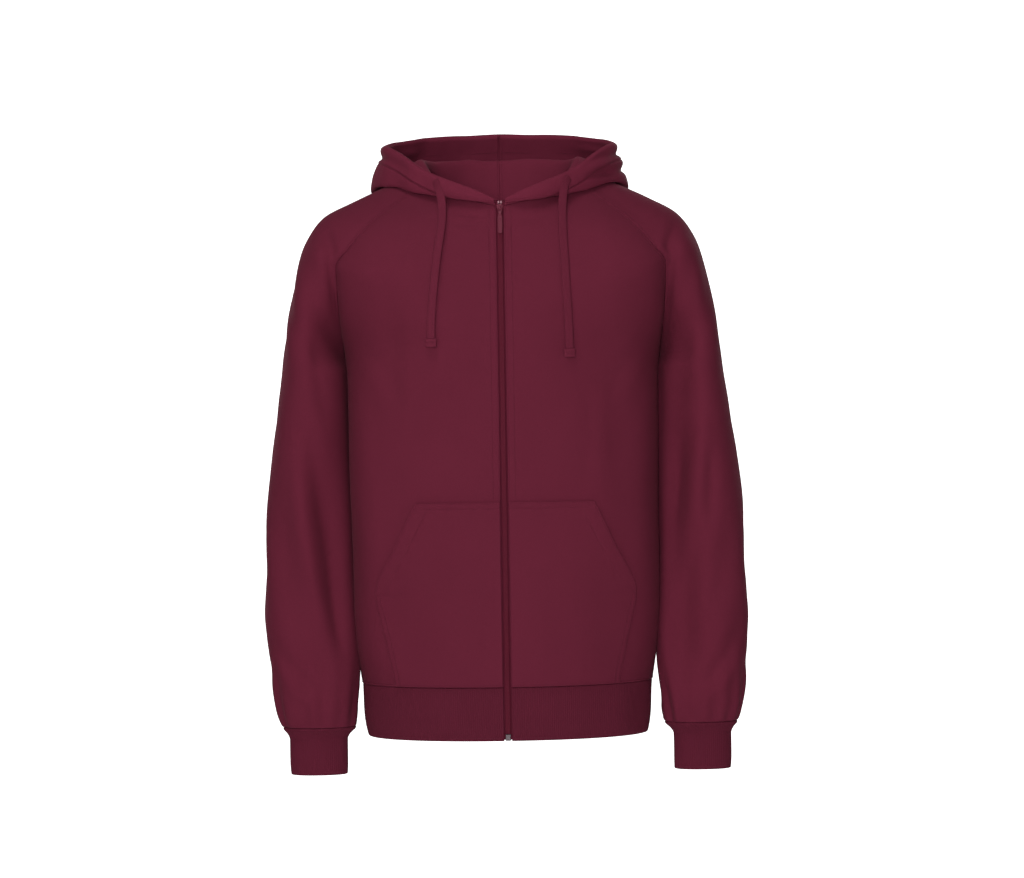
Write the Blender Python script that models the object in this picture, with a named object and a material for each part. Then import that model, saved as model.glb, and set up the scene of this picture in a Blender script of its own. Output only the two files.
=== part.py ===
"""Zip-up hoodie with raglan sleeves, filled out as when worn. Metres, +Z up, +X to the wearer's left.

The origin is the middle of the neck at the height of the shoulders. Each cloth piece is a wall
of its own, worked out from the sections in the tables below.
"""

import math

import bmesh
import bpy
import numpy as np
from mathutils import Matrix

# Walls and seams
FLEECE = 0.002
HOOD_WALL = 0.003
RIB_WALL = 0.0026
SEAM_GAP = 0.0005
LAID_GAP = 0.0008  # between a panel and a piece sewn flat on it

# Zip
ZIP_EDGE = 0.0048  # from the middle of the zip to the edge of each front
HOOD_EDGE = 0.0060  # from the middle of the zip to the front edge of each hood half
CHAIN_WIDTH = 0.0060
CHAIN_FRONT = 0.0005  # how far the chain lies behind the face of the fronts
CHAIN_DEPTH = 0.0024
TAPE_WIDTH = 0.0125
TAPE_WALL = 0.0006
TAPE_BACK = 0.0048  # how far the tapes lie behind the face of the fronts
ZIP_TOP = -0.0500
ZIP_TOP_Y = -0.0978

# Heights
HEM_SEAM = -0.650
CHAIN_FOOT = -0.7078
TAPE_FOOT = -0.7160
BOX_MIDDLE = -0.7122  # of the metal box at the foot of the zip


def table(text):
    """A table with named columns: the first line names them, and each further line is a row."""
    lines = text.strip().splitlines()
    values = np.array([[float(word) for word in line.split()] for line in lines[1:]])
    return dict(zip(lines[0].split(), values.T))


# The torso below the underarm, one row for each level.
TORSO = table("""
z       half_width  side_y   front_y  back_y
-0.650  0.1840      -0.004   -0.128   0.118
-0.600  0.1895      -0.005   -0.132   0.120
-0.500  0.1930      -0.006   -0.134   0.118
-0.400  0.1945      -0.005   -0.132   0.116
-0.300  0.1955      -0.002   -0.130   0.118
-0.262  0.1965       0.002   -0.129   0.119
""")

# The sleeve below the underarm: its inner and outer edge, its half depth and its middle in Y.
SLEEVE = table("""
z       inner_x  outer_x  half_depth  middle_y
-0.7026 0.1968   0.2890   0.0345      -0.030
-0.7000 0.1962   0.2900   0.0355      -0.030
-0.6930 0.1950   0.2928   0.0382      -0.030
-0.6800 0.1937   0.2965   0.0425      -0.029
-0.6500 0.1925   0.3010   0.0455      -0.027
-0.6000 0.1925   0.3035   0.0495      -0.023
-0.5200 0.1955   0.3040   0.0545      -0.016
-0.4400 0.1975   0.3005   0.0590      -0.010
-0.3600 0.1990   0.2930   0.0640      -0.006
-0.3000 0.1998   0.2860   0.0675      -0.003
-0.2620 0.2005   0.2805   0.0695       0.001
""")

# The shoulders, from the underarm (share 0) to the neck (share 1). Each row crosses the middle of
# the front, the front raglan seam and the ridge of the shoulder, then the back raglan seam and the
# middle of the back. Turns are in degrees from straight sideways: 90 runs straight back.
SHOULDER = table("""
share    mid_front_y  mid_front_z  front_x  front_y  front_z  ridge_x  ridge_z
0.00     -0.1280      -0.2350      0.2000   0.005    -0.238   0.2772   -0.234
0.12     -0.1265      -0.2100      0.2045   -0.044   -0.184   0.2655   -0.166
0.28     -0.1235      -0.1780      0.2055   -0.074   -0.129   0.2520   -0.108
0.40     -0.1200      -0.1540      0.1905   -0.084   -0.107   0.2415   -0.084
0.53     -0.1160      -0.1290      0.1735   -0.084   -0.086   0.2240   -0.062
0.68     -0.1110      -0.1040      0.1530   -0.077   -0.066   0.1880   -0.043
0.84     -0.1050      -0.0790      0.1220   -0.060   -0.043   0.1430   -0.0225
1.00     -0.0995      -0.0575      0.0880   -0.038   -0.0185  0.0950   0.000
""")
SHOULDER.update(table("""
share   back_x  back_y  back_z  mid_back_y  mid_back_z  body_turn  sleeve_turn  bulge   over
0.00    0.2000  0.005   -0.238  0.1200      -0.2350     86         -82          0.092   0.095
0.12    0.2010  0.055   -0.186  0.1205      -0.2080     80         -52          0.055   0.080
0.28    0.1890  0.086   -0.130  0.1190      -0.1740     64         -8           0.030   0.062
0.40    0.1730  0.096   -0.106  0.1150      -0.1480     52         14           0.028   0.054
0.53    0.1540  0.100   -0.083  0.1090      -0.1220     44         28           0.032   0.050
0.68    0.1320  0.095   -0.061  0.1000      -0.0950     42         36           0.030   0.044
0.84    0.1020  0.076   -0.037  0.0885      -0.0680     48         44           0.024   0.034
1.00    0.0700  0.050   -0.0130  0.0750      -0.0400     66         64           0.014   0.022
"""))

# The neck seam, by its direction from the middle of the neck: 0 is the front, 180 the back.
NECK = table("""
angle  radius   z
0      0.0995  -0.0575
45     0.0965  -0.0370
90     0.0950   0.0000
135    0.0840  -0.0210
180    0.0750  -0.0400
""")
ZIP_ANGLE = math.degrees(math.asin(ZIP_EDGE / NECK["radius"][0]))
FRONT_RAGLAN_ANGLE = 66.6
BACK_RAGLAN_ANGLE = 125.5

# The hood lies back round the neck. Each row is its section in one direction, in millimetres out
# from the neck seam and up: over the crest, down inside, round the fold, up outside, to the rim.
HOOD = table("""
angle crest_out crest_up inner_out inner_up fold_out fold_up outer_out outer_up rim_out rim_up
0      0.3       1.8      0.7       3.0      1.1       4.0     1.6       5.2      2.2      6.6
18     1.0       5.0      4.2       4.8      7.5       0.5     9.5       5.5      8.0     15.5
40     2.0       8.5      8.0       4.5     13.0      -3.5    17.5       5.5     15.5     21.5
66     3.5       9.0     17.0       1.5     34.0     -14.0    37.0       3.0     32.0     27.0
90     5.0       8.5     31.0      -4.5     63.0     -25.0    59.0       0.0     48.5     28.5
115    7.0      19.0     42.0       2.0     79.0     -31.0    78.0      -2.0     56.0     49.0
128    8.0      28.0     47.0       4.0     82.0     -38.0    84.0      -4.0     58.0     62.0
140    9.0      36.0     48.0      -3.0     80.0     -69.0    90.0     -14.0     60.0     73.0
160   12.0      48.0     37.0     -17.0     72.0    -118.0    98.0     -26.0     61.0     88.0
180   13.0      53.0     32.0     -22.0     69.0    -134.0   102.0     -30.0     62.0     96.0
""")

# The hem band and the cuff, from the seam down.
HEM = table("""
z       half_width  front_y  back_y
-0.6506 0.1830      -0.1275  0.1175
-0.6600 0.1822      -0.1272  0.1172
-0.6900 0.1808      -0.1260  0.1160
-0.7090 0.1785      -0.1240  0.1142
-0.7170 0.1765      -0.1222  0.1125
""")
CUFF = table("""
z       inner_x  outer_x  half_depth  middle_y
-0.7032 0.1970   0.2887   0.0342      -0.030
-0.7052 0.1975   0.2883   0.0338      -0.030
-0.7085 0.2010   0.2854   0.0312      -0.0303
-0.7125 0.2050   0.2823   0.0284      -0.0307
-0.7180 0.2076   0.2803   0.0264      -0.0313
-0.7480 0.2076   0.2800   0.0258      -0.034
-0.7620 0.2082   0.2790   0.0250      -0.035
""")

# The outer edge of the pocket: up its side, then along the slanted hand opening.
POCKET_EDGE = table("""
z       x
-0.6496 0.1380
-0.5655 0.1530
-0.5400 0.1575
-0.5320 0.1565
-0.4770 0.1330
-0.4225 0.1095
""")
POCKET_HAND_FOOT = -0.536  # the height where the side seam ends and the hand opening starts
POCKET_LIFT = 0.0030  # how far the hand edge stands off the front
POCKET_LEVELS = np.array([-0.6496, -0.6080, -0.5655, -0.5430, -0.5320, -0.5050, -0.4770, -0.4500, -0.4225])
POCKET_COLUMNS = 9

# Each drawcord's route from its eyelet in the hood, as it hangs down the chest.
CORD_WIDTH = 0.0110
CORD_DEPTH = 0.0030
RIGHT_CORD = table("""
x       y        z
-0.0805 -0.0856 -0.0226
-0.0780 -0.0874 -0.0270
-0.0755 -0.0888 -0.0330
-0.0735 -0.0903 -0.0410
-0.0720 -0.0925 -0.0500
-0.0715 -0.0979 -0.0620
-0.0722 -0.1054 -0.0760
-0.0740 -0.1118 -0.0900
-0.0765 -0.1162 -0.1050
-0.0790 -0.1197 -0.1220
-0.0812 -0.1225 -0.1400
-0.0832 -0.1243 -0.1580
-0.0850 -0.1250 -0.1760
-0.0865 -0.1245 -0.1940
-0.0872 -0.1240 -0.2080
-0.0875 -0.1238 -0.2200
""")
LEFT_CORD = table("""
x       y        z
0.0865  -0.0821 -0.0208
0.0840  -0.0843 -0.0250
0.0815  -0.0858 -0.0310
0.0795  -0.0874 -0.0390
0.0782  -0.0900 -0.0490
0.0775  -0.0967 -0.0620
0.0773  -0.1052 -0.0760
0.0776  -0.1121 -0.0910
0.0782  -0.1167 -0.1070
0.0790  -0.1201 -0.1240
0.0798  -0.1228 -0.1420
0.0806  -0.1246 -0.1610
0.0815  -0.1251 -0.1810
0.0824  -0.1245 -0.2010
0.0829  -0.1239 -0.2190
0.0832  -0.1236 -0.2350
""")
# How far each cord's flat face turns sideways: with the hood at its eyelet, then with the chest.
CORD_TURN_TOP = 44.0
CORD_TURN_LOW = 20.0
CORD_TURN_OVER = 0.22  # the share of the cord over which it turns
CORD_END_SIZE = (0.0150, 0.0052, 0.0110)
CORD_END_GAP = 0.0004

# Grid sizes
FRONT_COLUMNS = 12
SLEEVE_COLUMNS = 8  # on each side of the ridge
TORSO_LEVELS = 7
SHOULDER_LEVELS = 12
SLEEVE_LEVELS = 13
HOOD_COLUMNS = 15
HOOD_LEVELS = 15
CUFF_COLUMNS = 18
HEM_COLUMNS = 9  # in each quarter
CORD_SIDES = 10
CORD_RINGS = 26

# Slider and pull tab
SLIDER_SIZE = (0.0082, 0.0050, 0.0118)
SLIDER_MIDDLE = -0.0590
SLIDER_PROUD = 0.0014  # how far the slider stands in front of the fronts
STOP_EDGES = (0.0006, 0.0026)  # the inner and outer edge of each top stop
STOP_FRONT = 0.0002  # how far the stops lie behind the face of the fronts
BOX_SIZE = (0.0066, 0.0036, 0.0080)
ZIP_CLEAR = 0.0004  # between the slider and the stops
ARCH_REACH = 0.0022
ARCH_HALF = 0.0026
PIN_RADIUS = 0.0006
PULL_LENGTH = 0.0330
PULL_WIDTH = 0.0062
PULL_WALL = 0.0013
PULL_SIDE = 0.0013  # of the frame on each side of the tab's eye
ARCH_WALL = 0.0018

COLOURS = {
    "fleece": ((0.112, 0.0152, 0.0316), 0.95, 0.0),
    "rib": ((0.098, 0.0128, 0.0262), 0.95, 0.0),
    "cord": ((0.120, 0.0168, 0.0345), 0.90, 0.0),
    "tape": ((0.070, 0.0100, 0.0200), 0.85, 0.0),
    "coil": ((0.055, 0.0085, 0.0165), 0.45, 0.0),
    "metal": ((0.075, 0.0150, 0.0260), 0.38, 0.8),
    "steel": ((0.160, 0.1500, 0.1500), 0.35, 1.0),
}


def clear_scene():
    for obj in list(bpy.data.objects):
        bpy.data.objects.remove(obj, do_unlink=True)


def material(name):
    found = bpy.data.materials.get(name)
    if found:
        return found
    colour, roughness, metallic = COLOURS[name]
    made = bpy.data.materials.new(name)
    made.use_nodes = True
    shader = made.node_tree.nodes["Principled BSDF"]
    shader.inputs["Base Color"].default_value = (*colour, 1)
    shader.inputs["Roughness"].default_value = roughness
    shader.inputs["Metallic"].default_value = metallic
    made.diffuse_color = (*colour, 1)
    return made


def smooth(stations, values, at):
    """A cubic through the values that never swings past them (its slopes are harmonic means)."""
    step = np.diff(stations)
    slope = np.diff(values) / step
    bend = np.zeros(len(values))
    same = slope[:-1] * slope[1:] > 0
    before = 2 * step[1:] + step[:-1]
    after = step[1:] + 2 * step[:-1]
    inner = np.zeros(len(slope) - 1)
    inner[same] = ((before + after) / (before / np.where(same, slope[:-1], 1)
                                       + after / np.where(same, slope[1:], 1)))[same]
    bend[1:-1] = inner
    bend[0], bend[-1] = slope[0], slope[-1]
    at = np.clip(at, stations[0], stations[-1])
    i = np.clip(np.searchsorted(stations, at) - 1, 0, len(slope) - 1)
    t = (at - stations[i]) / step[i]
    return (values[i] * (1 + 2 * t) * (1 - t) ** 2 + values[i + 1] * t * t * (3 - 2 * t)
            + step[i] * (bend[i] * t * (1 - t) ** 2 + bend[i + 1] * t * t * (t - 1)))


def read(rows, name, at, key):
    order = np.argsort(rows[key])
    return smooth(rows[key][order], rows[name][order], np.asarray(at, float))


def round_back(rows, name, angle):
    """A column read by direction, level where the two halves meet at the back."""
    angles = np.append(rows["angle"], 360 - rows["angle"][-2])
    return smooth(angles, np.append(rows[name], rows[name][-2]), np.asarray(angle, float))


def points(x, y, z):
    return np.stack(np.broadcast_arrays(x, y, z), axis=-1).astype(float)


def bezier(a, b, c, d, share):
    """Cubic arcs, one for each row of the four corner arrays, at every share."""
    t = share[None, :, None]
    a, b, c, d = (corner[:, None, :] for corner in (a, b, c, d))
    return a * (1 - t) ** 3 + 3 * b * t * (1 - t) ** 2 + 3 * c * t * t * (1 - t) + d * t ** 3


def step_up(x):
    x = np.clip(x, 0, 1)
    return x * x * (3 - 2 * x)


def neck(angle):
    """A point of the neck seam in this direction, on the wearer's left half."""
    radius = round_back(NECK, "radius", angle)
    turn = np.radians(angle)
    return points(radius * np.sin(turn), -radius * np.cos(turn), round_back(NECK, "z", angle))


# Every level of the garment has a number: -1 to 0 runs up the torso or the sleeve to the
# underarm, and 0 to 1 runs up the shoulders to the neck.

def with_shoulders(below_levels, below, name, levels, weight=1.0):
    """A column of the shoulder table, carried on below the underarm by the given values."""
    stations = np.append(below_levels, SHOULDER["share"])
    values = np.append(below, SHOULDER[name] * weight)
    return smooth(stations, values, levels)


def body_row_keys(levels):
    depth = TORSO["z"] - SHOULDER["mid_front_z"][0]
    below = depth / abs(depth[0])
    def column(torso, name):
        return with_shoulders(below, torso, name, levels)
    steep = np.full(len(below), 90.0)
    z = TORSO["z"]
    return {
        "mid_front": points(0, column(TORSO["front_y"], "mid_front_y"), column(z, "mid_front_z")),
        "mid_back": points(0, column(TORSO["back_y"], "mid_back_y"), column(z, "mid_back_z")),
        "front": points(column(TORSO["half_width"], "front_x"), column(TORSO["side_y"], "front_y"),
                        column(z, "front_z")),
        "back": points(column(TORSO["half_width"], "back_x"), column(TORSO["side_y"], "back_y"),
                       column(z, "back_z")),
        "turn": np.radians(column(steep, "body_turn")),
    }


def body_half(levels, share, face):
    """Half a body panel: a row for each level, from the middle (share 0) to the seam (share 1)."""
    keys = body_row_keys(levels)
    ahead = 1 if face == "front" else -1
    middle = keys["mid_" + face].copy()
    seam = keys[face].copy()
    spread = np.clip(1 - levels, 0, 1) * (levels > -0.06)
    seam[:, 0] -= 0.0003 * spread
    if face == "front":
        middle[:, 0] = ZIP_EDGE
    reach = seam - middle
    out_handle = middle + reach * (0.60, 0, 0.02)
    turn = keys["turn"]
    hold = 0.58 * np.hypot(reach[:, 0] * np.cos(turn) * 0.75, reach[:, 1] * np.sin(turn))
    in_way = points(hold * np.cos(turn), ahead * hold * np.sin(turn), 0.30 * reach[:, 2])
    in_handle = seam - in_way
    rows = bezier(middle, out_handle, in_handle, seam, share)
    if face == "front":
        angles = ZIP_ANGLE + (FRONT_RAGLAN_ANGLE - ZIP_ANGLE) * share
    else:
        angles = 180 - (180 - BACK_RAGLAN_ANGLE) * share
    return fit_to_neck(rows, levels, angles)


def sleeve_half(levels, share, face):
    """Half a sleeve: a row for each level, from its seam (share 0) to the ridge (share 1)."""
    depth = SLEEVE["z"] - SHOULDER["front_z"][0]
    below = depth / abs(depth[0])
    def column(sleeve, name, weight=1.0):
        return with_shoulders(below, sleeve, name, levels, weight)
    z = SLEEVE["z"]
    seam = points(column(SLEEVE["inner_x"], face + "_x"), column(SLEEVE["middle_y"], face + "_y"),
                  column(z, face + "_z"))
    spread = np.clip(1 - levels, 0, 1) * (levels > -0.06)
    seam[:, 0] += 0.0003 * spread
    ridge = points(column(SLEEVE["outer_x"], "ridge_x"), column(SLEEVE["middle_y"], "share", 0.0),
                   column(z, "ridge_z"))
    steep = np.full(len(below), -90.0)
    turn = np.radians(column(steep, "sleeve_turn"))
    bulge = column(SLEEVE["half_depth"] * 4 / 3, "bulge")
    over = column(SLEEVE["half_depth"] * 4 / 3, "over")
    ahead = 1 if face == "front" else -1
    rise = ridge[:, 2] - seam[:, 2]
    leave = seam + points(bulge * np.cos(turn), ahead * bulge * np.sin(turn), 0.45 * rise)
    arrive = ridge + points(0, -ahead * over, 0.04 * rise)
    rows = bezier(seam, leave, arrive, ridge, share)
    first = FRONT_RAGLAN_ANGLE if face == "front" else BACK_RAGLAN_ANGLE
    return fit_to_neck(rows, levels, first + (90 - first) * share)


def fit_to_neck(rows, levels, angles):
    """Draws the top rows onto the neck seam, so that body, sleeves and hood meet along it."""
    if levels[-1] < 1:
        return rows
    pull = step_up((levels - 0.72) / 0.28)[:, None, None]
    return rows + (neck(angles)[None] - rows[-1:]) * pull


def front_grid(levels, share):
    return body_half(levels, share, "front")


def back_grid(levels, share):
    half = body_half(levels, share, "back")
    return np.concatenate([half[:, ::-1], half[:, 1:] * (-1, 1, 1)], axis=1)


def sleeve_grid(levels, share):
    front = sleeve_half(levels, share, "front")
    back = sleeve_half(levels, share, "back")
    return np.concatenate([front, back[:, -2::-1]], axis=1)


def ring_grid(rows, levels, share, closed):
    """The hem band (open at the zip) or a cuff (closed), as rings at these heights."""
    def column(name):
        return read(rows, name, levels, "z")
    if closed:
        middle = (column("inner_x") + column("outer_x")) / 2
        half = (column("outer_x") - column("inner_x")) / 2
        turn = 2 * np.pi * share[None, :]
        across = np.sign(np.sin(turn)) * np.abs(np.sin(turn)) ** 0.88
        along = np.sign(np.cos(turn)) * np.abs(np.cos(turn)) ** 0.88
        return points(middle[:, None] + half[:, None] * across,
                      column("middle_y")[:, None] - column("half_depth")[:, None] * along,
                      levels[:, None])
    side = points(column("half_width"), -0.004, levels)
    front = points(ZIP_EDGE, column("front_y"), levels)
    back = points(0, column("back_y"), levels)
    ahead = bezier(front, front + (side - front) * (0.60, 0, 0),
                   side - (side - front) * (0, 0.58, 0), side, share)
    behind = bezier(side, side + (back - side) * (0, 0.58, 0),
                    back + (side - back) * (0.60, 0, 0), back, share)
    half = np.concatenate([ahead, behind[:, 1:]], axis=1)
    return np.concatenate([half, half[:, -2::-1] * (-1, 1, 1)], axis=1)


def hood_grid(angles, share):
    """Half the hood: a column for each direction, its section from the neck seam to the rim."""
    base = neck(angles)
    turn = np.radians(angles)
    names = ("crest", "inner", "fold", "outer", "rim")
    out = np.stack([0 * angles] + [round_back(HOOD, n + "_out", angles) for n in names]) / 1000
    up = np.stack([0 * angles] + [round_back(HOOD, n + "_up", angles) for n in names]) / 1000
    up[0] = SEAM_GAP
    stations = np.linspace(0, 1, len(names) + 1)
    out, up = curve_through(stations, out, share), curve_through(stations, up, share)
    return points(base[:, 0] + out * np.sin(turn), base[:, 1] - out * np.cos(turn), base[:, 2] + up)


def curve_through(stations, values, at):
    """A round curve through each column of values (its slopes are those of its neighbours)."""
    bend = np.gradient(values, stations, axis=0)
    i = np.clip(np.searchsorted(stations, at) - 1, 0, len(stations) - 2)
    step = stations[1] - stations[0]
    t = ((at - stations[i]) / step)[:, None]
    return (values[i] * (1 + 2 * t) * (1 - t) ** 2 + values[i + 1] * t * t * (3 - 2 * t)
            + step * (bend[i] * t * (1 - t) ** 2 + bend[i + 1] * t * t * (t - 1)))


def normals(grid, closed=False):
    """Unit vectors square to a grid's surface, out of the garment where the columns run rightwards."""
    if closed:
        wide = np.concatenate([grid[:, -1:], grid, grid[:, :1]], axis=1)
        across = (wide[:, 2:] - wide[:, :-2])
    else:
        across = np.gradient(grid, axis=1, edge_order=2)
    square = np.cross(across, np.gradient(grid, axis=0, edge_order=2))
    return square / np.maximum(np.linalg.norm(square, axis=-1, keepdims=True), 1e-9)


def pull_in(grid, gap, sides):
    """Moves the named edges of a grid inwards along its own surface."""
    grid = grid.copy()
    edges = {
        "first_column": (np.s_[:, 0], np.s_[:, 1]), "last_column": (np.s_[:, -1], np.s_[:, -2]),
        "first_row": (np.s_[0], np.s_[1]), "last_row": (np.s_[-1], np.s_[-2]),
    }
    for side in sides:
        edge, next_to = edges[side]
        way = grid[next_to] - grid[edge]
        grid[edge] += way * (gap / 2 / np.linalg.norm(way, axis=-1, keepdims=True))
    return grid


def wall(name, outer, inner, finish, closed=False, mirrored=False):
    """A closed solid between two grids of points, with a rim along every open edge."""
    rows, columns = outer.shape[:2]
    co = np.concatenate([outer.reshape(-1, 3), inner.reshape(-1, 3)])
    if mirrored:
        co = co * (-1, 1, 1)
    count = rows * columns
    def at(layer, r, c):
        return layer * count + r * columns + c % columns
    faces = []
    wide = columns if closed else columns - 1
    for layer in (0, 1):
        for r in range(rows - 1):
            for c in range(wide):
                faces.append((at(layer, r, c), at(layer, r, c + 1),
                              at(layer, r + 1, c + 1), at(layer, r + 1, c)))
    for r in (0, rows - 1):
        faces += [(at(0, r, c), at(0, r, c + 1), at(1, r, c + 1), at(1, r, c)) for c in range(wide)]
    if not closed:
        for c in (0, columns - 1):
            faces += [(at(0, r, c), at(0, r + 1, c), at(1, r + 1, c), at(1, r, c))
                      for r in range(rows - 1)]
    return solid(name, co, faces, finish)


def solid(name, co, faces, finish):
    mesh = bpy.data.meshes.new(name)
    mesh.from_pydata([tuple(map(float, point)) for point in co], [], faces)
    sheet = bmesh.new()
    sheet.from_mesh(mesh)
    bmesh.ops.recalc_face_normals(sheet, faces=sheet.faces)
    sheet.to_mesh(mesh)
    sheet.free()
    mesh.shade_smooth()
    mesh.set_sharp_from_angle(angle=math.radians(50))
    obj = bpy.data.objects.new(name, mesh)
    bpy.context.scene.collection.objects.link(obj)
    mesh.materials.append(material(finish))
    return obj


def cloth(name, grid, thickness, finish="fleece", closed=False, mirrored=False, out=None):
    """A cloth wall whose outer face is the grid. Its thickness goes into the garment."""
    out = normals(grid, closed) if out is None else out
    return wall(name, grid, grid - out * thickness, finish, closed, mirrored)


def body_levels():
    below = -np.linspace(1, 0, TORSO_LEVELS + 1)[:-1] ** 0.9
    above = np.linspace(0, 1, SHOULDER_LEVELS) ** 1.15
    return np.append(below, above)


def sleeve_levels():
    low = (SLEEVE["z"][:4] - SHOULDER["front_z"][0]) / abs(SLEEVE["z"][0] - SHOULDER["front_z"][0])
    high = -np.linspace(-low[-1], 0, SLEEVE_LEVELS - 4)[:-1]
    above = np.linspace(0, 1, SHOULDER_LEVELS) ** 1.15
    return np.concatenate([low, high, above])


def front_middle(z):
    """How far forward the middle of the front is at this height, hem band and body in one line."""
    stations = np.concatenate([HEM["z"][::-1], TORSO["z"][1:], SHOULDER["mid_front_z"], [ZIP_TOP]])
    values = np.concatenate([HEM["front_y"][::-1], TORSO["front_y"][1:], SHOULDER["mid_front_y"],
                             [ZIP_TOP_Y]])
    return smooth(stations, values, np.asarray(z, float))


def zip_strip(name, bottom, top, inner_x, outer_x, near, far, finish, rows=26):
    """A flat strip that runs up the zip, between two depths behind the face of the fronts."""
    z = np.linspace(bottom, top, rows)
    y = front_middle(z)
    rise = np.stack([np.gradient(y, z), np.ones(rows)], axis=-1)
    rise /= np.linalg.norm(rise, axis=-1, keepdims=True)
    def face(depth):
        x = np.array([inner_x, outer_x])
        return points(x[None, :], (y + depth * rise[:, 1])[:, None], (z - depth * rise[:, 0])[:, None])
    return wall(name, face(near), face(far), finish)


def make_fronts_and_back():
    levels = body_levels()
    share = np.linspace(0, 1, FRONT_COLUMNS + 1)
    edges = ("last_column", "first_row", "last_row")
    front = pull_in(front_grid(levels, share), SEAM_GAP, edges)
    back = pull_in(back_grid(levels, share[::2]), SEAM_GAP, edges + ("first_column",))
    cloth("front_left", front, FLEECE)
    cloth("front_right", front, FLEECE, mirrored=True)
    cloth("back", back, FLEECE)


def make_sleeves():
    share = np.linspace(0, 1, SLEEVE_COLUMNS + 1)
    grid = sleeve_grid(sleeve_levels(), share)
    grid = pull_in(grid, SEAM_GAP, ("first_column", "last_column", "first_row", "last_row"))
    cloth("sleeve_left", grid, FLEECE)
    cloth("sleeve_right", grid, FLEECE, mirrored=True)


def make_ribs():
    hem = ring_grid(HEM, HEM["z"][::-1], np.linspace(0, 1, HEM_COLUMNS + 1), closed=False)
    cloth("hem_rib", hem, RIB_WALL, "rib")
    around = np.linspace(0, 1, CUFF_COLUMNS, endpoint=False)
    cuff = ring_grid(CUFF, CUFF["z"][::-1], around, closed=True)
    cloth("cuff_left", cuff, RIB_WALL, "rib", closed=True)
    cloth("cuff_right", cuff, RIB_WALL, "rib", closed=True, mirrored=True)


def make_hood():
    start = math.degrees(math.asin(HOOD_EDGE / NECK["radius"][0]))
    angles = np.linspace(start, 180, HOOD_COLUMNS + 1)
    grid = hood_grid(angles, np.linspace(0, 1, HOOD_LEVELS + 1))
    whole = np.concatenate([grid, grid[:, -2::-1] * (-1, 1, 1)], axis=1)
    out = normals(whole)[:, :HOOD_COLUMNS + 1]
    grid = pull_in(grid, SEAM_GAP, ("last_column",))
    cloth("hood_left", grid, HOOD_WALL, out=out)
    cloth("hood_right", grid, HOOD_WALL, out=out, mirrored=True)


def make_pockets():
    """Each pocket half lies on its front: the front's own points moved out, as far as its edge."""
    fine = np.linspace(0, 1, 121)
    heights = POCKET_LEVELS
    levels = (heights - SHOULDER["mid_front_z"][0]) / abs(HEM_SEAM - SHOULDER["mid_front_z"][0])
    panel = body_half(levels, fine, "front")
    out = normals(panel)
    share = np.linspace(0, 1, POCKET_COLUMNS + 1)
    edge = read(POCKET_EDGE, "x", heights, "z")
    lift_along = (heights - POCKET_HAND_FOOT) / (heights[-1] - POCKET_HAND_FOOT)
    lift_along = np.sin(np.pi * np.clip(lift_along, 0, 1)) ** 0.5
    zip_side = ZIP_EDGE + LAID_GAP
    x = zip_side + share[None, :] * (edge - zip_side)[:, None]
    def along(values):
        return np.stack([np.interp(x[r], panel[r, :, 0], values[r]) for r in range(len(heights))])
    base = np.stack([along(panel[:, :, i]) for i in range(3)], axis=-1)
    away = np.stack([along(out[:, :, i]) for i in range(3)], axis=-1)
    lift = LAID_GAP + POCKET_LIFT * step_up((share[None, :] - 0.55) / 0.45) * lift_along[:, None]
    inner = base + away * lift[..., None]
    for side, mirrored in (("left", False), ("right", True)):
        wall("pocket_" + side, inner + away * FLEECE, inner, "fleece", mirrored=mirrored)


def make_zip():
    top = SLIDER_MIDDLE + SLIDER_SIZE[2] / 2
    foot = SLIDER_MIDDLE - SLIDER_SIZE[2] / 2
    back = CHAIN_FRONT + CHAIN_DEPTH
    half = CHAIN_WIDTH / 2
    zip_strip("zip_chain", CHAIN_FOOT, foot - SLIDER_PROUD, -half, half, CHAIN_FRONT, back, "coil")
    for side, hand in (("left", 1), ("right", -1)):
        near, far = sorted((hand * SEAM_GAP / 2, hand * TAPE_WIDTH))
        zip_strip("zip_tape_" + side, TAPE_FOOT, ZIP_TOP, near, far, TAPE_BACK, TAPE_BACK + TAPE_WALL,
                  "tape")
        near, far = sorted(hand * edge for edge in STOP_EDGES)
        zip_strip("zip_stop_" + side, top + ZIP_CLEAR, ZIP_TOP, near, far, STOP_FRONT, back, "steel",
                  rows=2)
    make_slider()
    depth = float(front_middle(BOX_MIDDLE)) + BOX_SIZE[1] / 3
    bottom_box = box("zip_box", BOX_SIZE, (0, depth, BOX_MIDDLE), "steel")
    bevel(bottom_box, 0.0006)


def box(name, size, middle, finish):
    mesh = bpy.data.meshes.new(name)
    block = bmesh.new()
    bmesh.ops.create_cube(block, size=1.0)
    bmesh.ops.scale(block, vec=size, verts=block.verts)
    block.to_mesh(mesh)
    block.free()
    obj = bpy.data.objects.new(name, mesh)
    obj.location = middle
    bpy.context.scene.collection.objects.link(obj)
    mesh.materials.append(material(finish))
    return obj


def bevel(obj, width, segments=2):
    made = obj.modifiers.new("round", "BEVEL")
    made.width = width
    made.segments = segments


def combine(obj, other, operation):
    other.hide_render = True
    other.display_type = "WIRE"
    made = obj.modifiers.new(other.name, "BOOLEAN")
    made.operation = operation
    made.object = other


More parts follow.
